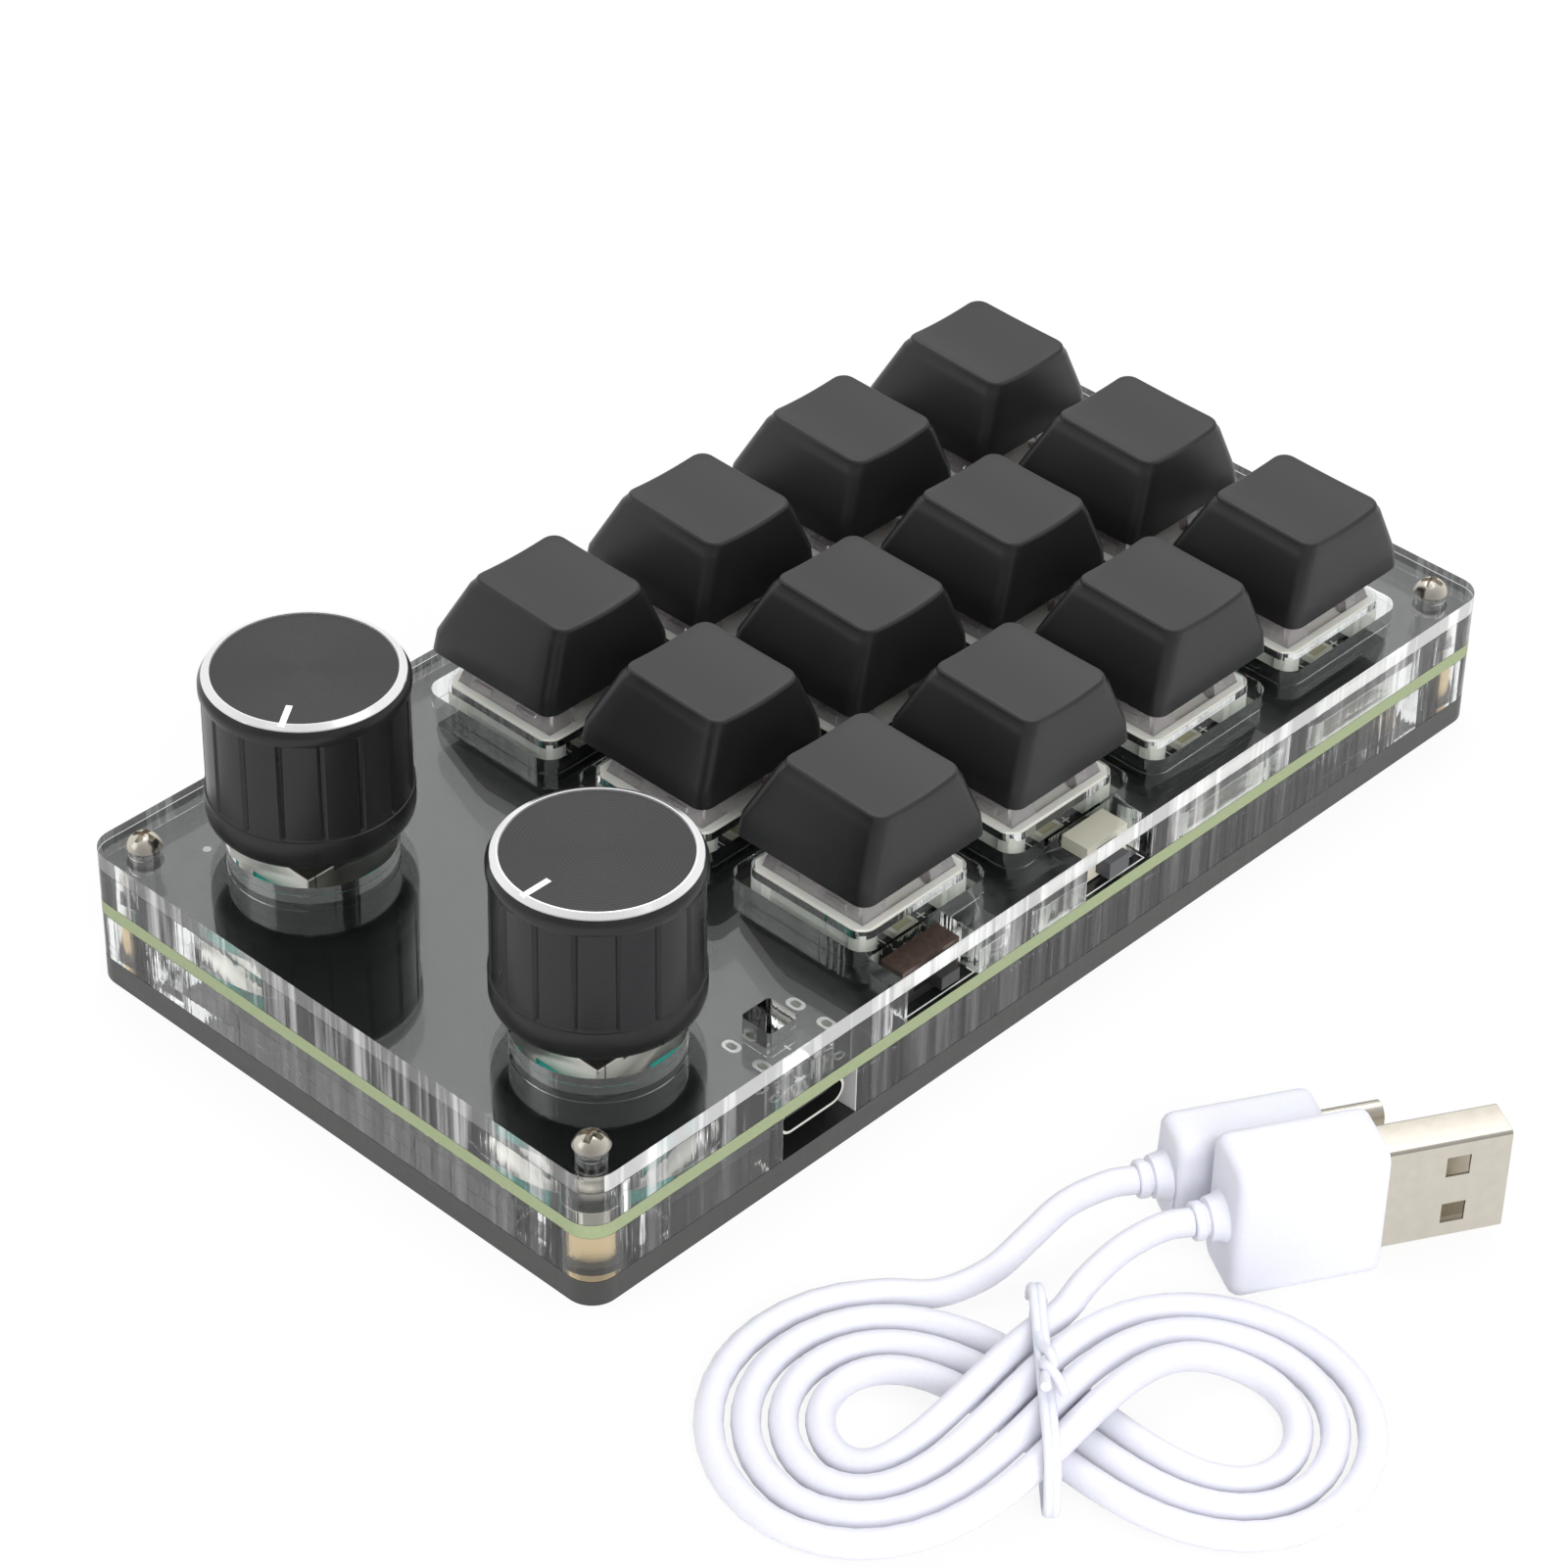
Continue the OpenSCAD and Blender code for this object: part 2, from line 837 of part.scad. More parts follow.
module knob(y, pointer) {
  r = knob_diameter / 2;
  h = knob_height;
  color([0.08, 0.08, 0.08])
    translate([knob_x, y, sheet_z + knob_lift])
      difference() {
        rotate_extrude()
          polygon([[0, h - disc_recess], [knob_ring, h - disc_recess], [knob_ring, h],
            [knob_ring + 0.2, h], [knob_ring + ring_width, h - bevel_drop],
            [r - 0.15, h - bevel_drop - 0.5], [r, h - bevel_drop - 0.8], [r, h - knob_band],
            [r - groove_inset, h - knob_band - shoulder], [r - groove_inset, band_foot + shoulder],
            [r, band_foot], [r, knob_foot_round], [r - knob_foot_round * 0.3, knob_foot_round * 0.3],
            [r - knob_foot_round, 0], [r - shell_wall - 0.6, 0], [r - shell_wall - 0.6, core_lift],
            [r - shell_wall, core_lift], [r - shell_wall, h - knob_roof], [0, h - knob_roof]]);
        for (i = [0 : knob_grooves - 1])
          rotate([0, 0, (i + 0.5) * 360 / knob_grooves])
            translate([r - groove_inset, 0, band_foot + shoulder / 2])
              cylinder(d = groove_diameter, h = h - knob_band - band_foot - shoulder);
        rotate([0, 0, pointer])
          translate([pointer_from, -pointer_width / 2, h - disc_recess - 0.2])
            cube([pointer_length, pointer_width, 1]);
      }
}

module knob_core(y) {
  r = knob_diameter / 2 - shell_wall - core_gap;
  h = knob_height - knob_roof - core_lift - core_gap;
  tip = encoder_height + shaft_length - knob_lift - core_lift;
  color([0.1, 0.1, 0.1])
    translate([knob_x, y, sheet_z + knob_lift + core_lift + core_gap / 2])
      difference() {
        cylinder(r = r, h = h);
        translate([0, 0, -e])
          cylinder(d = neck_diameter + 2 * neck_gap, h = neck_room - core_lift);
        translate([0, 0, -1])
          flatted_shaft(shaft_diameter + 2 * thread_fit, tip + 1 + shaft_end_gap,
            tip + 1 - flat_length - 0.2, flat_depth);
      }
}

// Socket for the cable, hung under the board with its mouth inside the edge

socket_width = 8.94;
socket_height = 3.26;
socket_length = 7.35;
socket_skin = 0.3;
tab_x = socket_width / 2 - socket_skin / 2;
tongue_width = 6.7;
tongue_height = 0.7;
tongue_length = 5.6;
tab_height = 2.4;

module stadium(w, h) {
  rounded_rect(w, h, h / 2 - e);
}

module usb_socket() {
  mid = board_z - socket_height / 2;
  color([0.8, 0.8, 0.82])
    translate([socket_x, half_w - socket_setback, mid]) {
      rotate([90, 0, 0]) {
        difference() {
          linear_extrude(socket_length)
            stadium(socket_width, socket_height);
          translate([0, 0, -e])
            linear_extrude(socket_length - 1)
              stadium(socket_width - 2 * socket_skin, socket_height - 2 * socket_skin);
        }
        translate([0, 0, socket_length - tongue_length - 1])
          linear_extrude(tongue_length + 0.5)
            rounded_rect(tongue_width, tongue_height, tongue_height / 4);
      }
      for (x = [-tab_x, tab_x], y = [tab_front, tab_rear])
        translate([x, -y])
          box(tab_thickness, tab_length, 0, tab_height);
    }
}

// Slide switch: a black body under a folded metal cover, its lever flush with the edge

slide_length = 8.2;
slide_depth = 3;
slide_height = 3;
slide_cover_top = 3.4;
slide_back = 4.8;
lever_width = 2.6;
lever_height = 1.5;
lever_z = 1.1;
lever_root = 1.4;
lever_play = 0.08;
cover_skin = 0.3;

module slide_place() {
  translate([slide_x, half_w - slide_back, sheet_z])
    children();
}

module slide_switch_body() {
  color([0.06, 0.06, 0.06])
    slide_place()
      difference() {
        translate([-slide_length / 2 + cover_skin, 0, 0])
          cube([slide_length - 2 * cover_skin, slide_depth, slide_height]);
        translate([-(lever_width + slide_travel) / 2 - lever_play, slide_depth - lever_root - lever_play,
          lever_z - lever_play])
          cube([lever_width + slide_travel + 2 * lever_play, slide_depth, lever_height + 2 * lever_play]);
      }
}

module slide_switch_cover() {
  color([0.5, 0.4, 0.35])
    slide_place() {
      translate([-slide_length / 2, 0, slide_height])
        cube([slide_length, slide_depth, slide_cover_top - slide_height]);
      for (x = [-slide_length / 2, slide_length / 2 - cover_skin])
        translate([x, 0, 0])
          cube([cover_skin, slide_depth, slide_height + e]);
    }
}

module slide_switch_lever() {
  color([0.12, 0.12, 0.12])
    slide_place()
      translate([-(lever_width + slide_travel) / 2, slide_depth - lever_root, lever_z])
        cube([lever_width, slide_back - slide_depth + lever_root, lever_height]);
}

// Side button: a plastic body on metal legs with a plunger flush with the edge

button_width = 6.2;
button_depth = 3.4;
button_height = 3.6;
button_back = 5.2;
plunger_width = 3;
plunger_height = 2;
plunger_z = 0.8;
plunger_root = 0.8;
plunger_play = 0.06;
leg_width = 0.6;
leg_reach = 1;

module button_place() {
  translate([button_x, half_w - button_back, sheet_z])
    children();
}

module side_button_body() {
  pocket = plunger_root + button_travel + plunger_play;
  color([0.88, 0.86, 0.78])
    button_place() {
      difference() {
        translate([-button_width / 2, 0, 0.2])
          cube([button_width, button_depth, button_height - 0.2]);
        translate([-plunger_width / 2 - plunger_play, button_depth - pocket, plunger_z - plunger_play])
          cube([plunger_width + 2 * plunger_play, button_depth, plunger_height + 2 * plunger_play]);
      }
      for (x = [-1, 1])
        translate([x * (button_width / 2 + leg_reach / 2 - 0.1), button_depth - 1])
          box(leg_reach + 0.2, leg_width, 0, 0.4);
    }
}

module side_button_plunger() {
  color([0.25, 0.26, 0.28])
    button_place() {
      translate([-plunger_width / 2, button_depth - plunger_root, plunger_z])
        cube([plunger_width, button_back - button_depth + plunger_root, plunger_height]);
    }
}

// Parts soldered under the board: the controller, one diode per key and a few capacitors

chip_from_knobs = 12.3;
chip_x = knob_x - chip_from_knobs;
chip_y = -2;
chip_length = 9.7;
chip_width = 4.4;
chip_height = 1.1;
chip_legs = 6.4;
diode_offset = [8.6, -4];
diode_length = 2.5;
diode_width = 1.3;
diode_height = 1;
capacitor_length = 2;
capacitor_width = 1.25;

module board_components() {
  color([0.1, 0.1, 0.11])
    translate([0, 0, board_z]) {
      translate([chip_x, chip_y]) {
        box(chip_length, chip_width, -chip_height, 0);
        for (i = [-4 : 4])
          translate([i, 0])
            box(0.4, chip_legs, -chip_height / 2, 0);
      }
      at_keys()
        translate(diode_offset)
          box(diode_width, diode_length, -diode_height, 0);
      for (i = [-2 : 2])
        translate([chip_x + 3 * i, chip_y + chip_legs])
          box(capacitor_width, capacitor_length, -capacitor_width, 0);
    }
}

// Cable: a figure eight of loops lying flat, tied at the crossing, with a plug on each end
// Its own frame has the crossing at the origin and the plugs towards +X

strand_r = cable_diameter / 2;
loop_wide = 24.2;
loop_trim = 1.8;
loop_deep = 11;
first_angle = 225;
last_angle = 1455;
angle_step = 15;
middle_angle = (first_angle + last_angle) / 2;
tie_room = 1.6;
crossing_lift = cable_diameter + 0.7;

plug_turn = 15;
plug_run = [3 * cos(plug_turn), 3 * sin(plug_turn), 0];
usb_c_back = [9.5, 28, 6];
usb_a_back = [14, 20.1, 7.8];
lead_in = [usb_c_back, usb_c_back - plug_run, [2.5, 25.3, 5.2], [-1, 22.2, 3.9], [-4.8, 19, 2.5], [-9.8, 17.1, 1.6]];
lead_out = [[3.8, 13.2, 6.9], [7.2, 16.8, 7.4], usb_a_back - plug_run, usb_a_back];

function unit(v) = v / norm(v);

// A loop runs once round both lobes; each is one strand to the left of the one before
function loop_middle(a) = [loop_wide * sin(a) - loop_trim * sin(3 * a), loop_deep * sin(2 * a)];
function loop_heading(a) = unit([loop_wide * cos(a) - 3 * loop_trim * cos(3 * a), 2 * loop_deep * cos(2 * a)]);
function loop_point(a) =
  let (h = loop_heading(a), s = strand_pitch * (a - middle_angle) / 360, c = cos(a))
  let (p = loop_middle(a) + s * [-h[1], h[0]])
  [p[0], p[1], strand_r + tie_room * pow(c, 4) + crossing_lift * pow(max(0, c), 4)];

cable_route = concat(lead_in, [for (a = [first_angle : angle_step : last_angle]) loop_point(a)], lead_out);

// Distance from strand to strand along the straight runs between the route's points
gap_steps = 3;
gap_skip = 3 * gap_steps;
gap_points = [for (i = [0 : len(cable_route) - 2], k = [0 : gap_steps - 1])
  cable_route[i] + (cable_route[i + 1] - cable_route[i]) * k / gap_steps];
function least_gap() = min([for (i = [0 : len(gap_points) - gap_skip - 1])
  min([for (k = [i + gap_skip : len(gap_points) - 1]) norm(gap_points[i] - gap_points[k])])]) - cable_diameter;

function route_heading(p, i) = unit(p[min(i + 1, len(p) - 1)] - p[max(i - 1, 0)]);
function ring(p, i, r, sides) =
  let (t = route_heading(p, i), n = unit([-t[1], t[0], 0]), b = cross(t, n))
  [for (k = [0 : sides - 1]) let (a = 360 * k / sides) p[i] + r * (cos(a) * n + sin(a) * b)];

module tube(p, r, sides) {
  count = len(p);
  last = (count - 1) * sides;
  points = [for (i = [0 : count - 1]) each ring(p, i, r, sides)];
  walls = [for (i = [0 : count - 2], k = [0 : sides - 1])
    let (a = i * sides + k, b = i * sides + (k + 1) % sides)
    each [[a, a + sides, b], [b, a + sides, b + sides]]];
  ends = [for (k = [1 : sides - 2]) each [[0, k, k + 1], [last, last + k + 1, last + k]]];
  polyhedron(points, concat(walls, ends));
}

module cable_place() {
  translate([cable_x, cable_y, 0])
    rotate([0, 0, cable_direction])
      children();
}

module usb_cable() {
  echo(least_gap = least_gap());
  color([0.94, 0.94, 1])
    cable_place()
      tube(cable_route, strand_r, 6);
}

tie_x = -1;
tie_depth = 24.8;
tie_height = 9.4;
tie_corner = 3;
tie_thickness = 1;
tie_width = 2.2;
tie_tail = 2.5;

module cable_tie() {
  color([0.95, 0.95, 0.95])
    cable_place()
      translate([tie_x - tie_width / 2, 0, tie_height / 2])
        rotate([90, 0, 90]) {
          linear_extrude(tie_width)
            difference() {
              rounded_rect(tie_depth, tie_height, tie_corner);
              rounded_rect(tie_depth - 2 * tie_thickness, tie_height - 2 * tie_thickness, tie_corner - tie_thickness);
            }
          translate([0, tie_height / 2 - e, tie_width / 2])
            rotate([-90, 0, 0])
              cylinder(d = tie_thickness, h = tie_tail);
        }
}

// A plug stands on its narrow side, with its cable end at the origin and its mouth towards +X

module plug_place(start) {
  cable_place()
    translate(start)
      rotate([0, 0, plug_turn])
        rotate([90, 0, 90])
          children();
}

grip_corner = 1.6;
relief_length = 3;
relief_foot = 0.5;
relief_head = 1.6;
usb_a_grip_size = [8, 15.4, 18];
usb_a_shell_size = [4.5, 12, 13];
usb_a_skin = 0.35;
usb_a_tongue = 1.9;
usb_a_window = 2.4;
usb_a_window_y = 2.9;
usb_a_window_z = 6.5;
usb_c_grip_size = [6.4, 11.6, 18];
usb_c_shell_size = [2.56, 8.34, 6.65];
usb_c_skin = 0.3;

module plug_grip(size) {
  cylinder(r1 = strand_r + relief_foot, r2 = strand_r + relief_head, h = relief_length + e);
  translate([0, 0, relief_length])
    linear_extrude(size[2] - relief_length)
      rounded_rect(size[0], size[1], grip_corner);
}

module usb_a_grip() {
  color([0.94, 0.94, 1])
    plug_place(usb_a_back)
      plug_grip(usb_a_grip_size);
}

module usb_a_shell() {
  w = usb_a_shell_size[0];
  l = usb_a_shell_size[1];
  h = usb_a_shell_size[2];
  color([0.75, 0.74, 0.7])
    plug_place(usb_a_back)
      translate([0, 0, usb_a_grip_size[2]]) {
        difference() {
          linear_extrude(h)
            rounded_rect(w, l, 0.5);
          translate([0, 0, 1])
            linear_extrude(h)
              rounded_rect(w - 2 * usb_a_skin, l - 2 * usb_a_skin, 0.2);
          for (y = [-usb_a_window_y, usb_a_window_y])
            translate([-w, y - usb_a_window / 2, usb_a_window_z])
              cube([2 * w, usb_a_window, usb_a_window]);
        }
        translate([w / 2 - usb_a_skin - usb_a_tongue, -l / 2 + usb_a_skin - e, 1 - e])
          cube([usb_a_tongue, l - 2 * usb_a_skin + 2 * e, h - 1.5]);
      }
}

module usb_c_grip() {
  color([0.94, 0.94, 1])
    plug_place(usb_c_back)
      plug_grip(usb_c_grip_size);
}

module usb_c_shell() {
  w = usb_c_shell_size[0];
  l = usb_c_shell_size[1];
  h = usb_c_shell_size[2];
  color([0.75, 0.74, 0.7])
    plug_place(usb_c_back)
      translate([0, 0, usb_c_grip_size[2]])
        difference() {
          linear_extrude(h)
            rounded_rect(w, l, w / 2 - e);
          translate([0, 0, 1])
            linear_extrude(h)
              rounded_rect(w - 2 * usb_c_skin, l - 2 * usb_c_skin, w / 2 - usb_c_skin - e);
        }
}

bottom_plate();
middle_frame();
circuit_board();
spacer_sheet();
top_sheet();
corner_screws();
brass_posts();
bottom_screws();
switch_housings();
switch_covers();
switch_contacts();
switch_springs();
board_lights();
encoder_bases();
encoder_cases();
push_disc(front_knob_y);  // front_push_disc
push_disc(rear_knob_y);  // rear_push_disc
shaft(front_knob_y);  // front_shaft
shaft(rear_knob_y);  // rear_shaft
knob(front_knob_y, front_pointer);  // front_knob
knob(rear_knob_y, rear_pointer);  // rear_knob
knob_core(front_knob_y);  // front_knob_core
knob_core(rear_knob_y);  // rear_knob_core
usb_socket();
slide_switch_body();
slide_switch_cover();
slide_switch_lever();
side_button_body();
side_button_plunger();
board_components();
usb_cable();
cable_tie();
usb_a_grip();
usb_a_shell();
usb_c_grip();
usb_c_shell();
keycap(1);  // keycap_1
keycap(2);  // keycap_2
keycap(3);  // keycap_3
keycap(4);  // keycap_4
keycap(5);  // keycap_5
keycap(6);  // keycap_6
keycap(7);  // keycap_7
keycap(8);  // keycap_8
keycap(9);  // keycap_9
keycap(10);  // keycap_10
keycap(11);  // keycap_11
keycap(12);  // keycap_12
key_stem(1);  // key_stem_1
key_stem(2);  // key_stem_2
key_stem(3);  // key_stem_3
key_stem(4);  // key_stem_4
key_stem(5);  // key_stem_5
key_stem(6);  // key_stem_6
key_stem(7);  // key_stem_7
key_stem(8);  // key_stem_8
key_stem(9);  // key_stem_9
key_stem(10);  // key_stem_10
key_stem(11);  // key_stem_11
key_stem(12);  // key_stem_12
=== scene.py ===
import json
import math

import bmesh
import bpy
from mathutils import Matrix, Vector

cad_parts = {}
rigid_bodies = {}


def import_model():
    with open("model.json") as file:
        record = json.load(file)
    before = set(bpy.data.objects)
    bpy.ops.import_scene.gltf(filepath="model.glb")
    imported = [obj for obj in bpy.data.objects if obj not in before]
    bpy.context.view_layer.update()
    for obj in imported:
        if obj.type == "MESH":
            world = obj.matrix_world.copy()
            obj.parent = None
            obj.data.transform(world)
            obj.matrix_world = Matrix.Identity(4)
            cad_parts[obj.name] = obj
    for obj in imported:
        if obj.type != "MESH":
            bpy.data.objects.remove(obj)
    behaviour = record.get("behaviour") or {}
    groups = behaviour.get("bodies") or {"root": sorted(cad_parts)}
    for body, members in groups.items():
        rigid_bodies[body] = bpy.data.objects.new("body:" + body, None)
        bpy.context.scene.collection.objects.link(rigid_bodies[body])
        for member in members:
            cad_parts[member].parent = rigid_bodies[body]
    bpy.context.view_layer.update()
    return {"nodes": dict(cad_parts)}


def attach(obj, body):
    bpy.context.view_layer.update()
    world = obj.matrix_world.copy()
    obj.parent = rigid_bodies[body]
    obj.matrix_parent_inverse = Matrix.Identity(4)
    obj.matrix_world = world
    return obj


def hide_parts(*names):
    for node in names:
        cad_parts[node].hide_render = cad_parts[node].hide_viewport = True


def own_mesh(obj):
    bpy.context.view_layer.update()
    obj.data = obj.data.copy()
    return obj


for leftover in list(bpy.data.objects):
    bpy.data.objects.remove(leftover)
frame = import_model()

# The camera stands off the corner between the knob end and the socket side and looks down on both,
# with a long lens, as in the photograph.
camera_place = Vector((0.29694, 0.27297, 0.31313))
camera_azimuth = math.radians(132.992)
camera_elevation = math.radians(37.225)
camera_roll = math.radians(1.235)
camera_lens, camera_sensor = 110.9, 36

back = Vector((math.sin(camera_azimuth) * math.cos(camera_elevation),
               -math.cos(camera_azimuth) * math.cos(camera_elevation),
               math.sin(camera_elevation)))
right = Vector((0, 0, 1)).cross(back).normalized()
up = back.cross(right)
turned_right = right * math.cos(camera_roll) + up * math.sin(camera_roll)
turned_up = up * math.cos(camera_roll) - right * math.sin(camera_roll)
camera = bpy.data.objects.new("camera", bpy.data.cameras.new("camera"))
camera.data.lens = camera_lens
camera.data.sensor_width = camera_sensor
camera.data.clip_start = 0.01
camera_turn = Matrix((turned_right, turned_up, back)).transposed().to_4x4()
camera.matrix_world = Matrix.Translation(camera_place) @ camera_turn
bpy.context.scene.collection.objects.link(camera)
bpy.context.scene.camera = camera
bpy.context.scene.view_settings.view_transform = "Standard"


# The cable is a soft white sheath with a moulded plug on each end. It is laid in a figure eight,
# each loop one strand beside the last, and tied at the crossing.
class Field:
    """A socket in a material, so that shader maths is written as an expression."""

    def __init__(self, finish, socket):
        self.finish = finish
        self.socket = socket

    def maths(self, operation, *others):
        return self.finish.node("ShaderNodeMath", {"operation": operation}, self, *others)

    def __add__(self, other):
        return self.maths("ADD", other)

    def __sub__(self, other):
        return self.maths("SUBTRACT", other)

    def __mul__(self, other):
        return self.maths("MULTIPLY", other)

    def __truediv__(self, other):
        return self.maths("DIVIDE", other)

    def __rsub__(self, other):
        return self * -1 + other

    __radd__ = __add__
    __rmul__ = __mul__

    def size(self):
        return self.maths("ABSOLUTE")

    def above(self, edge):
        return self.maths("GREATER_THAN", edge)

    def below(self, edge):
        return self.maths("LESS_THAN", edge)

    def between(self, low, high):
        return self.above(low) * self.below(high)

    def ramp(self, low, high, start=0.0, end=1.0):
        return self.finish.node("ShaderNodeMapRange", {"clamp": True}, self, low, high, start, end)


class Finish:
    """A material or world, and the nodes that make it."""

    def __init__(self, owner):
        owner.use_nodes = True
        self.owner = owner
        self.tree = owner.node_tree
        self.shader = self.tree.nodes.get("Principled BSDF")

    def put(self, socket, value):
        if isinstance(value, Field):
            self.tree.links.new(value.socket, socket)
        elif value is not None:
            colour = hasattr(socket.default_value, "__len__") and len(socket.default_value) == 4
            socket.default_value = (*value, 1.0) if colour and len(value) == 3 else value

    def node(self, kind, settings, *values, output=0, **named):
        made = self.tree.nodes.new(kind)
        for name, setting in settings.items():
            setattr(made, name, setting)
        for socket, value in zip(made.inputs, values):
            self.put(socket, value)
        for name, value in named.items():
            self.put(made.inputs[name.replace("_", " ").title()], value)
        return Field(self, made.outputs[output])

    def set(self, **named):
        for name, value in named.items():
            self.put(self.shader.inputs[name.replace("_", " ").title().replace("Ior", "IOR")], value)

    def finish_with(self, shader):
        """Puts another shader in the place of the first one."""
        self.tree.links.new(shader.socket, self.tree.nodes["Material Output"].inputs["Surface"])

    def place(self):
        return self.node("ShaderNodeTexCoord", {}, output="Object")

    def stretched(self, factors):
        """The place on the piece, multiplied along each axis."""
        return self.node("ShaderNodeVectorMath", {"operation": "MULTIPLY"}, self.place(), factors)

    def axes(self, vector=None):
        """X, Y and Z of a vector: the place on the piece in millimetres, unless another is given."""
        if vector is None:
            vector = self.stretched((1000, 1000, 1000))
        split = self.node("ShaderNodeSeparateXYZ", {}, vector)
        return [Field(self, split.socket.node.outputs[k]) for k in range(3)]

    def facing(self):
        return self.axes(self.node("ShaderNodeNewGeometry", {}, output="True Normal"))

    def grain(self, per_mm, stretch=(1, 1, 1), detail=3.0):
        """Noise between 0 and 1 with so many grains a millimetre."""
        return self.node("ShaderNodeTexNoise", {}, self.stretched(stretch), scale=per_mm * 1000, detail=detail)

    def blend(self, amount, one, other):
        """A colour that goes from one to the other."""
        mix = self.node("ShaderNodeMix", {"data_type": "RGBA"}, output=2)
        inputs = mix.socket.node.inputs
        for socket, value in ((inputs[0], amount), (inputs[6], one), (inputs[7], other)):
            self.put(socket, value)
        return mix

    def relief(self, height, depth):
        """A bump of so many millimetres."""
        return self.node("ShaderNodeBump", {}, strength=1.0, distance=depth / 1000, height=height)


def new_finish(name):
    return Finish(bpy.data.materials.new(name))


class Shape:
    """A mesh in the making, measured in millimetres."""

    def __init__(self):
        self.mesh = bmesh.new()

    def soften(self, verts, width, segments=2, sharp=25):
        """Rounds the sharp edges between these corners."""
        edges = {edge for vert in verts for edge in vert.link_edges
                 if len(edge.link_faces) == 2 and edge.calc_face_angle(0) > math.radians(sharp)}
        bmesh.ops.bevel(self.mesh, geom=list(edges), offset=width, affect="EDGES", segments=segments,
                        profile=0.5, material=-1, clamp_overlap=True)

    def box(self, low, high, soft):
        middle = [(a + b) / 2 for a, b in zip(low, high)]
        sides = [b - a for a, b in zip(low, high)]
        place = Matrix.Translation(middle) @ Matrix.Diagonal((*sides, 1))
        made = bmesh.ops.create_cube(self.mesh, size=1, matrix=place)
        self.soften(made["verts"], soft)

    def loft(self, rings, closed=False):
        """A skin bridged over rings of points, capped at both ends or closed round into itself.

        Rings in one plane would bridge with a twist, so neighbours differ by a hair in height.
        """
        hair, hair_steps = 0.002, 7
        loops = []
        for number, ring in enumerate(rings):
            lift = number % hair_steps * hair
            verts = [self.mesh.verts.new((px, py, pz + lift)) for px, py, pz in ring]
            loops.append([self.mesh.edges.new(pair) for pair in zip(verts, verts[1:] + verts[:1])])
        pairs = list(zip(loops, loops[1:]))
        if closed:
            pairs.append((loops[-1], loops[0]))
        for one, other in pairs:
            bmesh.ops.bridge_loops(self.mesh, edges=one + other)
        if not closed:
            for loop in (loops[0], loops[-1]):
                bmesh.ops.edgeloop_fill(self.mesh, edges=loop)

    def take(self, node):
        """Adds the shape of a CAD node, with its flat faces whole again."""
        taken = bmesh.new()
        taken.from_mesh(frame["nodes"][node].data)
        bmesh.ops.remove_doubles(taken, verts=taken.verts, dist=2e-6)
        bmesh.ops.dissolve_limit(taken, angle_limit=math.radians(1), verts=taken.verts, edges=taken.edges)
        bmesh.ops.scale(taken, vec=(1000, 1000, 1000), verts=taken.verts)
        spare = bpy.data.meshes.new(node + "_taken")
        taken.to_mesh(spare)
        taken.free()
        before = set(self.mesh.verts)
        self.mesh.from_mesh(spare)
        return [vert for vert in self.mesh.verts if vert not in before]

    def written(self, name, place=Matrix(), sharp=24):
        """The finished mesh, in metres."""
        bmesh.ops.recalc_face_normals(self.mesh, faces=self.mesh.faces)
        mesh = bpy.data.meshes.new(name)
        self.mesh.to_mesh(mesh)
        self.mesh.free()
        mesh.transform(Matrix.Scale(0.001, 4) @ place)
        mesh.shade_smooth()
        mesh.set_sharp_from_angle(angle=math.radians(sharp))
        return mesh


def add_piece(name, data, finish, body="base", replaces=()):
    piece = bpy.data.objects.new(name, data)
    bpy.context.scene.collection.objects.link(piece)
    piece.data.materials.clear()
    piece.data.materials.append(finish.owner)
    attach(piece, body)
    if replaces:
        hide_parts(*replaces)
    return piece


def round_wire(name, routes, diameter, roundness):
    """A curve that follows each route, in metres."""
    wire = bpy.data.curves.new(name, "CURVE")
    wire.dimensions = "3D"
    wire.bevel_depth = diameter / 2
    wire.bevel_resolution = roundness
    wire.use_fill_caps = True
    for route in routes:
        line = wire.splines.new("POLY")
        line.points.add(len(route) - 1)
        for spot, point in zip(line.points, route):
            spot.co = (*point, 1)
        line.use_smooth = True
    return wire


def wire_mesh(name, routes, diameter, place=Matrix(), roundness=2):
    """Bent wire as a mesh, from routes in millimetres."""
    routes = [[place @ Vector(point) / 1000 for point in route] for route in routes]
    bent = bpy.data.objects.new(name, round_wire(name, routes, diameter / 1000, roundness))
    mesh = bpy.data.meshes.new_from_object(bent)
    bpy.data.objects.remove(bent)
    closed = bmesh.new()
    closed.from_mesh(mesh)
    bmesh.ops.remove_doubles(closed, verts=closed.verts, dist=1e-7)
    bmesh.ops.recalc_face_normals(closed, faces=closed.faces)
    closed.to_mesh(mesh)
    closed.free()
    mesh.shade_smooth()
    mesh.set_sharp_from_angle(angle=math.radians(60))
    return mesh


cable_diameter = 2.8
strand_pitch = 3.4
cable_place = Matrix.Translation((49, 77, 0)) @ Matrix.Rotation(math.radians(135), 4, "Z")
loop_wide, loop_trim, loop_deep = 24.2, 1.8, 11
first_angle, last_angle, angle_step = 225, 1455, 5
middle_angle = (first_angle + last_angle) / 2
tie_room = 1.6
crossing_lift = 3.5
plug_turn = math.radians(15)
plug_straight = 3
plug_run = Vector((plug_straight * math.cos(plug_turn), plug_straight * math.sin(plug_turn), 0))
usb_c_back = Vector((9.5, 28, 6))
usb_a_back = Vector((14, 20.1, 7.8))


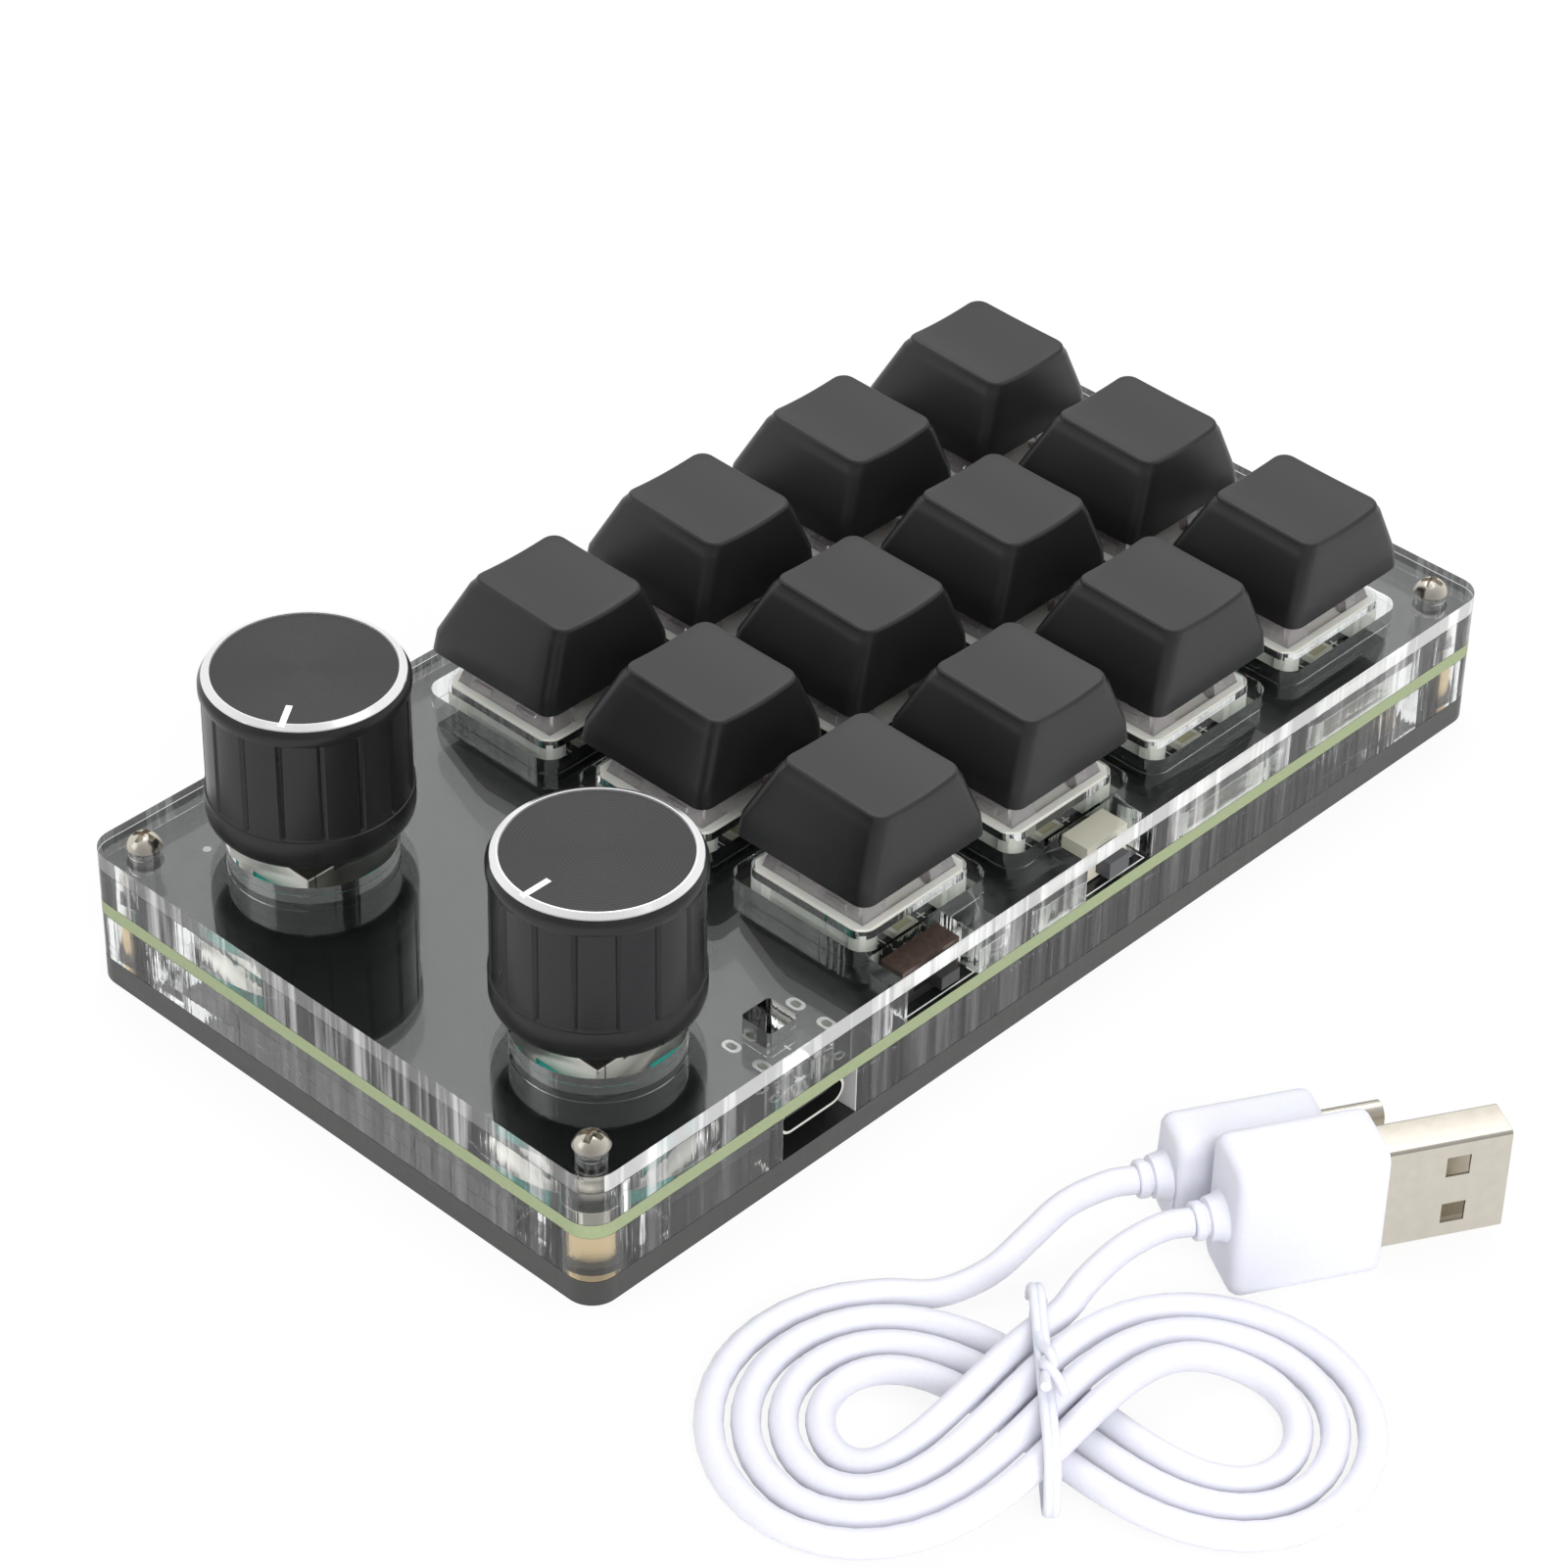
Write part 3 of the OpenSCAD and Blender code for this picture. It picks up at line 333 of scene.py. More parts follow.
def loop_point(degrees):
    """The cable's middle on the figure eight, each loop one strand to the side of the last."""
    a = math.radians(degrees)
    middle = Vector((loop_wide * math.sin(a) - loop_trim * math.sin(3 * a),
                     loop_deep * math.sin(2 * a)))
    heading = Vector((loop_wide * math.cos(a) - 3 * loop_trim * math.cos(3 * a),
                      2 * loop_deep * math.cos(2 * a)))
    heading.normalize()
    aside = strand_pitch * (degrees - middle_angle) / 360
    lift = tie_room * math.cos(a) ** 4 + crossing_lift * max(0, math.cos(a)) ** 4
    return Vector((middle.x - aside * heading.y, middle.y + aside * heading.x, cable_diameter / 2 + lift))


def eased(knots, steps=5):
    """A smooth line through all the knots but the first and last, which only steer it."""
    line = []
    for a, b, c, d in zip(knots, knots[1:], knots[2:], knots[3:]):
        for t in (k / steps for k in range(steps)):
            line.append((b * 2 + (c - a) * t + (a * 2 - b * 5 + c * 4 - d) * t * t
                         + (b * 3 - a - c * 3 + d) * t * t * t) / 2)
    return line + [knots[-2]]


lead_angle = 15
lead_in = [usb_c_back + plug_run, usb_c_back, usb_c_back - plug_run,
           Vector((2.5, 25.3, 5.2)), Vector((-1, 22.2, 3.9)),
           Vector((-4.8, 19, 2.5)), Vector((-9.8, 17.1, 1.6)),
           loop_point(first_angle), loop_point(first_angle + lead_angle)]
lead_out = [loop_point(last_angle - lead_angle), loop_point(last_angle),
            Vector((3.8, 13.2, 6.9)), Vector((7.2, 16.8, 7.4)),
            usb_a_back - plug_run, usb_a_back, usb_a_back + plug_run]
loops = [loop_point(a) for a in range(first_angle + angle_step, last_angle, angle_step)]
cable_route = [cable_place @ point / 1000 for point in eased(lead_in) + loops + eased(lead_out)]
cable_length = sum((b - a).length for a, b in zip(cable_route, cable_route[1:]))

sheath = new_finish("white_sheath")
soft_grain = sheath.grain(2.5)
sheath.set(base_color=sheath.blend(soft_grain, (0.68, 0.685, 0.76), (0.74, 0.745, 0.81)),
           roughness=soft_grain * 0.1 + 0.38, subsurface_weight=0.1, subsurface_scale=0.002,
           normal=sheath.relief(soft_grain, 0.01))
cable = add_piece("white_cable", round_wire("white_cable", [cable_route], cable_diameter / 1000, 5), sheath,
                  replaces=["usb_cable"])


def plug_place(start):
    """A plug's own frame has its thickness along X, its width along Y and its length along Z."""
    turn = Matrix.Rotation(plug_turn, 4, "Z") @ Matrix(((0, 0, 1, 0), (1, 0, 0, 0), (0, 1, 0, 0), (0, 0, 0, 1)))
    return cable_place @ Matrix.Translation(start) @ turn


def rounded_outline(x0, x1, y0, y1, radius, corner=6, side=0):
    """Points round a rectangle with round corners, against the clock."""
    outline = []
    for cx, cy, start in ((x1 - radius, y1 - radius, 0), (x0 + radius, y1 - radius, 90),
                          (x0 + radius, y0 + radius, 180), (x1 - radius, y0 + radius, 270)):
        for k in range(corner + 1):
            a = math.radians(start + 90 * k / corner)
            outline.append((cx + radius * math.cos(a), cy + radius * math.sin(a)))
    filled = []
    for k, point in enumerate(outline):
        filled.append(point)
        if k % (corner + 1) == corner:
            following = outline[(k + 1) % len(outline)]
            filled += [tuple(p + (q - p) * (n + 1) / (side + 1) for p, q in zip(point, following))
                       for n in range(side)]
    return filled


relief_rings = ((0, 1.75), (0.15, 1.9), (0.9, 1.9), (1.05, 1.6), (1.3, 1.6), (1.45, 2.1), (2.4, 2.3),
                (3.0, 2.6))
grip_shoulder = ((3.02, 0.9), (3.25, 0.4), (3.7, 0.1), (4.2, 0.0))
grip_nose = ((0.9, 0.0), (0.3, 0.12), (0, 0.4))
grip_corner = 1.6


def grip_mesh(name, thick, wide, long, place):
    """A ribbed relief round the cable that grows into a block with round corners."""
    rings = []
    for z, r in relief_rings:
        rings.append([(x, y, z) for x, y in rounded_outline(-r, r, -r, r, r * 0.98)])
    for z, inset in grip_shoulder + tuple((long - before, inset) for before, inset in grip_nose):
        half_thick, half_wide = thick / 2 - inset, wide / 2 - inset
        rings.append([(x, y, z) for x, y in rounded_outline(-half_thick, half_thick, -half_wide, half_wide,
                                                            grip_corner - inset / 2)])
    shape = Shape()
    shape.loft(rings)
    return shape.written(name, place, 40)


usb_a_size, usb_c_size = (8, 15.4, 18), (6.4, 11.6, 18)
for start, plug, size in ((usb_a_back, "usb_a", usb_a_size), (usb_c_back, "usb_c", usb_c_size)):
    name = plug + "_moulded_grip"
    add_piece(name, grip_mesh(name, *size, plug_place(start)), sheath,
                                replaces=[plug + "_grip"])

# The plugs' shells are folded from nickel-plated steel. The larger one has two square windows and
# a small pressed mark between them.
nickel = new_finish("nickel_plating")
cloud = nickel.grain(0.9)
nickel.set(base_color=nickel.blend(cloud, (0.58, 0.54, 0.47), (0.66, 0.62, 0.55)), metallic=1.0,
           roughness=cloud * 0.12 + 0.18)
for plug in ("usb_a", "usb_c"):
    name = plug + "_folded_shell"
    shell = Shape()
    shell.soften(shell.take(plug + "_shell"), 0.08)
    add_piece(name, shell.written(name), nickel, replaces=[plug + "_shell"])
mark_along, mark_face, mark_top, mark_inner = 23.6, 2.2, 2.32, 0.7
mark_outline = rounded_outline(-1.1, 1.1, -0.6, 0.6, 0.59)
mark = Shape()
mark.loft([[(lift, x * spread, mark_along + y * spread) for x, y in mark_outline]
           for lift, spread in ((mark_face, 1), (mark_top, 1), (mark_top, mark_inner), (mark_face, mark_inner))],
          closed=True)
add_piece("pressed_mark", mark.written("pressed_mark", plug_place(usb_a_back)), nickel)

# The tie is a white coated wire, wound twice round the crossing and twisted at the top.
tie_x, tie_half, tie_height, tie_wire, tie_spread = -1, 12.0, 8.7, 1.0, 1.2
tie_band = rounded_outline(-tie_half, tie_half, 0.6, tie_height, 2.8, corner=8, side=6)
tie_turns = [(tie_x - tie_spread / 2 + tie_spread * k / (2 * len(tie_band)), y, z)
             for k, (y, z) in enumerate(tie_band + tie_band)]
tie_tails = (((-0.4, 4, 0), (-0.3, 2.2, 0.4), (0.3, 0.6, 1.1), (0.5, -0.8, 1.0), (-0.2, -2.4, 1.3),
              (-0.4, -4.6, 1.9)),
             ((0.5, 2, 0), (0.4, 0.8, 0.5), (-0.3, -0.2, 0.6), (-0.2, -1.6, 1.6), (0.6, -3.0, 1.7),
              (1.4, -5.0, 1.2)))
tails = []
for tail in tie_tails:
    knots = [Vector((tie_x + px, py, tie_height + pz)) for px, py, pz in tail]
    tails.append(eased([knots[0], *knots, knots[-1]]))
tie_mesh = wire_mesh("wire_tie", [tie_turns, *tails], tie_wire, cable_place, 3)
add_piece("wire_tie", tie_mesh, sheath, replaces=["cable_tie"])

# The floor is a plain white table that keeps the object's shadow. What the camera, metal and glass
# see of it is mostly its own even white, so that the background is as plain as in the photograph.
floor_mesh = bmesh.new()
floor_half = 3.0
bmesh.ops.create_grid(floor_mesh, x_segments=1, y_segments=1, size=floor_half)
floor = bpy.data.objects.new("floor", bpy.data.meshes.new("floor"))
floor_mesh.to_mesh(floor.data)
floor_mesh.free()
bpy.context.scene.collection.objects.link(floor)

table = new_finish("white_table")
rays = table.node("ShaderNodeLightPath", {}).socket.node.outputs
seen, mirrored, through = [Field(table, rays[f"Is {kind} Ray"])
                           for kind in ("Camera", "Glossy", "Transmission")]
own_white = table.node("ShaderNodeEmission", {}, (1, 1, 1), 1.0)
table.set(base_color=(0.9, 0.9, 0.9), roughness=0.9, specular_ior_level=0.1)
white_to_camera, white_to_metal_and_glass = 0.88, 0.84
own_share = seen * white_to_camera + (mirrored + through) * white_to_metal_and_glass
lit = Field(table, table.shader.outputs[0])
table.finish_with(table.node("ShaderNodeMixShader", {}, own_share, lit, own_white))
floor.data.materials.append(table.owner)

# The light is a white room with three soft lamps: one overhead towards the far side, a weak one on
# the knob side and a strong one high behind the camera, which glass and metal don't mirror. The
# camera sees the room as plain white.
room = Finish(bpy.data.worlds.new("room"))
bpy.context.scene.world = room.owner
room_light = room.tree.nodes["Background"]
seen = room.node("ShaderNodeLightPath", {}, output="Is Camera Ray")
way = room.node("ShaderNodeTexCoord", {}, output="Generated")
towards_camera = room.node("ShaderNodeVectorMath", {"operation": "DOT_PRODUCT"}, way,
                           (back.x, back.y, 0.1), output="Value")
far_side_strength, camera_side_strength = 0.95, 0.35
room_strength = towards_camera.ramp(-0.3, 0.9, far_side_strength, camera_side_strength)
room.put(room_light.inputs["Color"], (1, 1, 1))
room.put(room_light.inputs["Strength"], seen + (1 - seen) * room_strength)


def soft_lamp(name, place, target, size, watts):
    lamp = bpy.data.objects.new(name, bpy.data.lights.new(name, "AREA"))
    lamp.data.shape = "RECTANGLE"
    lamp.data.size, lamp.data.size_y = size
    lamp.data.energy = watts
    lamp.location = place
    lamp.rotation_euler = (Vector(target) - Vector(place)).to_track_quat("-Z", "Y").to_euler()
    bpy.context.scene.collection.objects.link(lamp)
    return lamp


soft_lamp("overhead_lamp", (-0.15, -0.15, 0.55), (0, 0, 0), (0.5, 0.5), 1.1)
soft_lamp("side_lamp", (0.45, -0.25, 0.3), (0, 0, 0.01), (0.3, 0.3), 0.2)
front_lamp = soft_lamp("front_lamp", (0.36, 0.6, 0.45), (0, 0, 0.01), (0.45, 0.45), 5.0)
front_lamp.visible_glossy = False
front_lamp.visible_transmission = False

# The bottom plate is black acrylic, laser cut from one sheet. Its faces keep the sheet's gloss and
# its edge has the fine upright lines that the cut leaves.
black_sheet = new_finish("black_acrylic")
on_edge = black_sheet.facing()[2].size().below(0.5)
cut_lines = black_sheet.grain(0.9, (1, 1, 0.05))
scuffs = black_sheet.grain(0.25, (1, 1, 6), 5.0)
black_sheet.set(base_color=black_sheet.blend(on_edge, (0.012, 0.012, 0.013), (0.036, 0.035, 0.034)),
                roughness=on_edge * (scuffs * 0.25 + 0.12) + 0.12, specular_ior_level=0.5,
                normal=black_sheet.relief(cut_lines * on_edge, 0.03))

eased_edge = 0.16
key_pitch = 22
key_rows, key_columns = 3, 4
first_key = (15.25, 20.8)
keys = [(first_key[0] - key_pitch * (n % key_columns), first_key[1] - key_pitch * (n // key_columns))
        for n in range(key_rows * key_columns)]
solid_window, near = 9, 0.02


def plate_mesh(node, gap, window=solid_window):
    """A cut sheet with eased edges, held off its neighbours by a gap.

    Its key windows reach so many millimetres to each side of a key.
    """
    shape = Shape()
    verts = shape.take(node)
    for key_x, key_y in keys if window != solid_window else ():
        for vert in verts:
            across, along = vert.co.x - key_x, vert.co.y - key_y
            if max(abs(across), abs(along)) < solid_window + near:
                vert.co.x = key_x + across * window / solid_window
                vert.co.y = key_y + along * window / solid_window
    low = min(vert.co.z for vert in verts)
    high = max(vert.co.z for vert in verts)
    for vert in verts:
        if vert.co.z < low + gap / 2:
            vert.co.z += gap
        elif vert.co.z > high - gap / 2:
            vert.co.z -= gap
    shape.soften(verts, eased_edge, sharp=45)
    return shape.written(node + "_eased", sharp=20)


add_piece("black_plate", plate_mesh("bottom_plate", 0.01), black_sheet, replaces=["bottom_plate"])

# The clear frame and the two clear sheets are laser-cut acrylic. Their faces are as clear as glass
# and let the lamps shine straight through. Their cut edges have upright streaks, and on the outer
# edges the streaks are painted white as light, the bright room seen through them, most of all round the top
# sheet.
acrylic = new_finish("clear_acrylic")
on_edge = acrylic.facing()[2].size().below(0.5)
x, y, z = acrylic.axes()
fine_streaks = acrylic.grain(1.5, (1, 1, 0.03), 2.0)
broad_streaks = acrylic.grain(0.35, (1, 1, 0.03), 2.0)
acrylic.set(base_color=(0.97, 0.985, 0.98), roughness=on_edge * 0.05, ior=1.49, transmission_weight=1.0,
            normal=acrylic.relief((fine_streaks * 0.3 + broad_streaks) * on_edge, 0.2))
knob_end, socket_side, socket_cut = 67.3, 35.8, 31.58
frame_top, top_sheet_foot = 9, 14.1
outside = x.size().above(knob_end).maths("MAXIMUM", y.size().above(socket_side)) * on_edge
# Painted light: this white in the outer edges and the frame's socket wall stands for the bright room seen
# through them.
painted_edge_light = acrylic.node("ShaderNodeBsdfDiffuse", {}, (0.93, 0.93, 0.93))
streaked = (fine_streaks * 0.4 + broad_streaks * 0.6).ramp(0.5, 0.68, 0.02, 0.45)
# The top sheet's socket side gets more of this painted light than its other sides.
in_top_sheet = z.above(top_sheet_foot) * (y.above(socket_side) * 0.75 + 0.25)
in_frame = z.below(frame_top)
socket_wall = (x - socket_cut).size().below(0.1) * on_edge * in_frame
edge_light_share = outside * (streaked * (1 - in_frame * 0.8) + in_top_sheet * 0.45) + socket_wall * 0.5
clear = Field(acrylic, acrylic.shader.outputs[0])
cut_edge = acrylic.node("ShaderNodeMixShader", {}, edge_light_share, clear, painted_edge_light)
let_through = acrylic.node("ShaderNodeBsdfTransparent", {}, (0.92, 0.94, 0.93))
for_light = acrylic.node("ShaderNodeLightPath", {}, output="Is Shadow Ray")
light_share = 0.9
acrylic.finish_with(acrylic.node("ShaderNodeMixShader", {}, for_light * light_share, cut_edge, let_through))
sheet_gap, spacer_window, top_window = 0.015, 9.45, 8.1
for node, name, window in (("middle_frame", "clear_frame", solid_window),
                           ("spacer_sheet", "clear_spacer", spacer_window),
                           ("top_sheet", "clear_top", top_window)):
    add_piece(name, plate_mesh(node, sheet_gap, window), acrylic, replaces=[node])


# The brass posts are turned, and the screws are nickel-plated steel with a cross recess.
def finish_node(name, finish):
    """Gives a node of the frame its own finish; its shape is right as it stands."""
    frame["nodes"][name].material_slots[0].material = finish.owner


brass = new_finish("turned_brass")
turning = brass.grain(2.5, (0.02, 0.02, 1), 1.0)
brass.set(base_color=(0.72, 0.54, 0.3), metallic=1.0, roughness=turning * 0.15 + 0.22,
          normal=brass.relief(turning, 0.01))
finish_node("brass_posts", brass)
finish_node("bottom_screws", nickel)
screws = Shape()
screws.soften(screws.take("corner_screws"), 0.1, sharp=60)
add_piece("pan_screws", screws.written("pan_screws"), nickel, replaces=["corner_screws"])

# The circuit board is glass fibre under black lacquer, with white print. The lacquer stops at the
# cut edge, where the pale green fibre shows.
board_top = 10.1
board = new_finish("circuit_board")
on_edge = board.facing()[2].size().below(0.5)
x, y, z = board.axes()
weave = board.grain(2.5)


def from_key(place, axis):
    """How far a place is from the middle of the nearest key, along one axis."""
    count = (key_columns, key_rows)[axis]
    steps = ((place - first_key[axis]) / key_pitch).maths("ROUND")
    steps = steps.maths("MAXIMUM", 1 - count).maths("MINIMUM", 0)
    return place - (steps * key_pitch + first_key[axis])


def line_box(u, v, half_u, half_v, width):
    """The outline of a rectangle round the origin of u and v."""
    outer = u.size().below(half_u + width / 2) * v.size().below(half_v + width / 2)
    inner = u.size().below(half_u - width / 2) * v.size().below(half_v - width / 2)
    return outer - inner


def plus_sign(u, v, size, width):
    """A plus round the origin of u and v."""
    across = u.size().below(size / 2) * v.size().below(width / 2)
    upright = v.size().below(size / 2) * u.size().below(width / 2)
    return across.maths("MAXIMUM", upright)


light_x, light_y = 0.25, 5.7
u = from_key(x, 0) - light_x
v = from_key(y, 1) - light_y
light_box_half, plus_away, minus_away = (2.4, 1.8), 3.4, 3.3
slide_x, button_x, part_y, part_front, line_width = 18.9, 7.2, 33.4, 34.4, 0.16
slide_half, button_half, part_half_y = 4.85, 4.6, 2.05
socket_plus_x, socket_plus_y = 37.95, 32.5
dot_x, dot_y = 57.0, 29.8
marks = [line_box(u, v, *light_box_half, 0.14),
         plus_sign(u + plus_away, v, 1.1, 0.2),
         (u - minus_away).size().below(0.45) * v.size().below(0.1),
         line_box(x - slide_x, y - part_y, slide_half, part_half_y, line_width) * y.above(part_front),
         line_box(x + button_x, y - part_y, button_half, part_half_y, line_width) * y.above(part_front),
         plus_sign(x - socket_plus_x, y - socket_plus_y, 1.3, 0.25),
         ((x - dot_x) * (x - dot_x) + (y + dot_y) * (y + dot_y)).below(0.2)]
print_mask = marks[0]
for mark in marks[1:]:
    print_mask = print_mask.maths("MAXIMUM", mark)
print_mask = print_mask * z.above(board_top - 0.05)
lacquer = board.blend(print_mask, (0.008, 0.009, 0.009), (0.75, 0.75, 0.73))
fibre = board.blend(weave, (0.25, 0.3, 0.16), (0.33, 0.385, 0.22))
board.set(base_color=board.blend(on_edge, lacquer, fibre), roughness=on_edge * 0.35 + 0.2,
          specular_ior_level=0.5)
finish_node("circuit_board", board)

# Tinned rings of solder lie round the tabs of the socket and the legs of the side button.
tab_outline = rounded_outline(-0.75, 0.75, -1.1, 1.1, 0.74)
tab_solder = ((-0.02, 1.0), (0.06, 0.94), (0.06, 0.6), (-0.02, 0.5))
tab_columns, tab_rows, button_legs = (32.7, 41.6), (28.8, 32.9), (-11.4, -3.0)
tinning = Shape()
for ring_x in tab_columns:
    for ring_y in tab_rows:
        tinning.loft([[(ring_x + dx * spread, ring_y + dy * spread, board_top + lift) for dx, dy in tab_outline]
                      for lift, spread in tab_solder], closed=True)
pad_half, pad_back, pad_front, pad_foot, pad_top = 0.6, 32.0, 34.4, board_top - 0.02, board_top + 0.05
for pad_x in button_legs:
    tinning.box((pad_x - pad_half, pad_back, pad_foot), (pad_x + pad_half, pad_front, pad_top), 0.03)
fresh_tin = new_finish("fresh_tin")
fresh_tin.set(base_color=(0.75, 0.74, 0.72), metallic=1.0, roughness=fresh_tin.grain(3) * 0.2 + 0.25)
add_piece("tinned_pads", tinning.written("tinned_pads"), fresh_tin)

# The lower switch housings are moulded in white nylon and stand on four legs, with a ledge under
# the flange.
white_nylon = new_finish("white_nylon")
mould = white_nylon.grain(1.5)
white_nylon.set(base_color=white_nylon.blend(mould, (0.8, 0.8, 0.74), (0.86, 0.86, 0.8)),
                roughness=mould * 0.1 + 0.33, subsurface_weight=0.15, subsurface_scale=0.001,
                normal=white_nylon.relief(mould, 0.01))
guide_radius, stop_gap = 2.4, 0.04
ledge_corner, ledge_profile = 0.4, ((7.4, 3.9), (7.5, 4.0), (7.5, 4.95), (6.9, 4.95), (6.9, 3.9))
housings = Shape()
outer_verts = []
for vert in housings.take("switch_housings"):
    if min(math.hypot(vert.co.x - key_x, vert.co.y - key_y) for key_x, key_y in keys) > guide_radius:
        outer_verts.append(vert)
    elif vert.co.z > board_top:
        vert.co.z -= stop_gap
housings.soften(outer_verts, 0.14)
for key_x, key_y in keys:
    ledge = []
    for half, height in ledge_profile:
        outline = rounded_outline(-half, half, -half, half, ledge_corner, 3)
        ledge.append([(key_x + px, key_y + py, board_top + height) for px, py in outline])
    housings.loft(ledge, closed=True)
add_piece("lower_housings", housings.written("lower_housings"), white_nylon, replaces=["switch_housings"])

# The upper housings are moulded in milky polycarbonate that lets light through.
milky = new_finish("milky_polycarbonate")
haze = milky.grain(0.8)
milky.set(base_color=milky.blend(haze, (0.88, 0.84, 0.84), (0.94, 0.91, 0.91)), roughness=haze * 0.1 + 0.12,
          ior=1.5, transmission_weight=0.75)
covers = Shape()
covers.soften(covers.take("switch_covers"), 0.12)
add_piece("upper_housings", covers.written("upper_housings"), milky, replaces=["switch_covers"])

# The contact legs are gold plated. Each switch has a coil spring of plain steel wire.
gold = new_finish("gold_plating")
gold.set(base_color=(0.8, 0.6, 0.28), metallic=1.0, roughness=gold.grain(1.5) * 0.1 + 0.2)
finish_node("switch_contacts", gold)
steel = new_finish("plain_steel")
steel.set(base_color=(0.5, 0.5, 0.5), metallic=1.0, roughness=steel.grain(1.2) * 0.2 + 0.25)
for node in ("front_push_disc", "rear_push_disc"):
    finish_node(node, steel)
spring_foot, spring_top, spring_radius, spring_wire, coils, coil_steps = 11.35, 20.4, 2.08, 0.4, 9, 16
for number, (key_x, key_y) in enumerate(keys, 1):
    coil = []
    for k in range(coils * coil_steps + 1):
        a = math.tau * k / coil_steps
        coil.append((key_x + spring_radius * math.cos(a), key_y + spring_radius * math.sin(a),
                     spring_foot + (spring_top - spring_foot) * k / (coils * coil_steps)))
    name = f"key_spring_{number}"
    spring = add_piece(name, wire_mesh(name, [coil], spring_wire, roundness=1), steel,
                       replaces=["switch_springs"])
    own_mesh(spring)

# The stems are moulded in red-brown acetal, a little waxy.
stem_red = new_finish("red_brown_acetal")
wax = stem_red.grain(0.9)
stem_red.set(base_color=stem_red.blend(wax, (0.2, 0.05, 0.045), (0.27, 0.075, 0.065)),
             roughness=wax * 0.1 + 0.3)
for number in range(1, len(keys) + 1):
    finish_node(f"key_stem_{number}", stem_red)

# The lights are small packages with a yellowish window in a white rim.
led = new_finish("light_package")
x, y, z = led.axes()
lens_half_x, lens_half_y, lens_y, lens_height = 1.15, 0.75, 5.6, 0.7
lens = from_key(x, 0).size().below(lens_half_x) * (from_key(y, 1) - lens_y).size().below(lens_half_y)
lens = lens * z.above(board_top + lens_height)
lens_rim = led.blend(led.grain(1.2), (0.62, 0.6, 0.52), (0.72, 0.7, 0.62))
led.set(base_color=led.blend(lens, lens_rim, (0.4, 0.36, 0.2)), roughness=0.35 - lens * 0.2)
finish_node("board_lights", led)

# The keycaps are moulded in black plastic with a fine satin face. Each is a tapered shell with a
# hollow top that leans back, and a tube inside that takes the stem's cross.
satin = new_finish("satin_black_plastic")
spark = satin.grain(9, detail=1.0)
satin.set(base_color=satin.blend(spark, (0.008, 0.008, 0.0085), (0.012, 0.012, 0.0125)),
          roughness=spark * 0.08 + 0.34, normal=satin.relief(spark, 0.008))
cap_foot_z, cap_height, cap_bend, cap_wall, cap_roof = 20.3, 9.2, 2.2, 1.4, 7.6
cap_edge = 0.5
dish_radius, dish_floor, dish_lean = 38, 8.65, math.radians(1.7)
dish_middle = (0.0, 1.2)


def cap_top(px, py):
    """Height of the hollow top over the cap's foot."""
    dish = dish_floor + dish_radius - math.sqrt(dish_radius ** 2 - px * px) - py * math.tan(dish_lean)
    return min(cap_height, dish)


cap_foot_half, cap_bend_half, cap_corner = 9.05, 8.75, 1.5
cap_top_half, cap_top_front, cap_top_back = 6, 5.6, 8


def cap_outlines(inset):
    """Outlines of a cap at its foot, at the bend of its sides and at its top."""
    foot, bend, corner = cap_foot_half - inset, cap_bend_half - inset, cap_corner - inset * 0.6
    top, front, back = cap_top_half - inset, cap_top_front - inset, cap_top_back - inset
    return [rounded_outline(*box, corner, 6, 6)
            for box in ((-foot, foot, -foot, foot), (-bend, bend, -bend, bend + 0.2),
                        (-top, top, -front, back))]


def cap_ring(outlines, roof, heights):
    """The cap's wall at a height that may differ from point to point."""
    ring = []
    for foot, bend, top, height in zip(*outlines, heights):
        low, high, share = (foot, bend, height / cap_bend) if height < cap_bend else (
            bend, top, (height - cap_bend) / (roof - cap_bend))
        ring.append((low[0] + (high[0] - low[0]) * share, low[1] + (high[1] - low[1]) * share, height))
    return ring


outer, inner = cap_outlines(0), cap_outlines(cap_wall)
count = len(outer[0])
edge = cap_ring(outer, cap_height, [cap_top(*point) for point in outer[2]])
skin = [[(px * 0.1, py * 0.1 + 1, cap_roof) for px, py in inner[2]]]
skin += [cap_ring(inner, cap_roof, [height] * count) for height in (cap_roof, cap_bend, 0)]
skin += [cap_ring(outer, cap_height, [height] * count) for height in (0, 0.15, 1.2, cap_bend)]
for share in (0.2, 0.4, 0.6, 0.8, 0.9):
    skin.append(cap_ring(outer, cap_height, [cap_bend + (z - cap_edge - cap_bend) * share for _, _, z in edge]))
edge_steps = 6
for step in range(edge_steps):
    a = math.radians(step * 90 / (edge_steps - 1))
    inset, drop = cap_edge * (1 - math.cos(a)), cap_edge * (1 - math.sin(a))
    ring = []
    for px, py, _ in edge:
        away = math.hypot(px - dish_middle[0], py - dish_middle[1])
        px, py = (p - (p - m) * inset / away for p, m in zip((px, py), dish_middle))
        ring.append((px, py, cap_top(px, py) - drop))
    skin.append(ring)
rim = skin[-1]
for share in (0.86, 0.7, 0.52, 0.34, 0.17, 0.03):
    ring = [[m + (p - m) * share for p, m in zip(point, dish_middle)] for point in rim]
    skin.append([(px, py, cap_top(px, py)) for px, py in ring])
cap = Shape()
cap.loft(skin)
cross_length, cross_width, tube_radius, tube_foot, tube_top = 4.06, 1.26, 2.75, 2.0, 7.7
a, b = cross_length / 2, cross_width / 2
cross = [(a, -b), (a, b), (b, b), (b, a), (-b, a), (-b, b),
         (-a, b), (-a, -b), (-b, -b), (-b, -a), (b, -a), (b, -b)]
tube = [(tube_radius * px / math.hypot(px, py), tube_radius * py / math.hypot(px, py)) for px, py in cross]
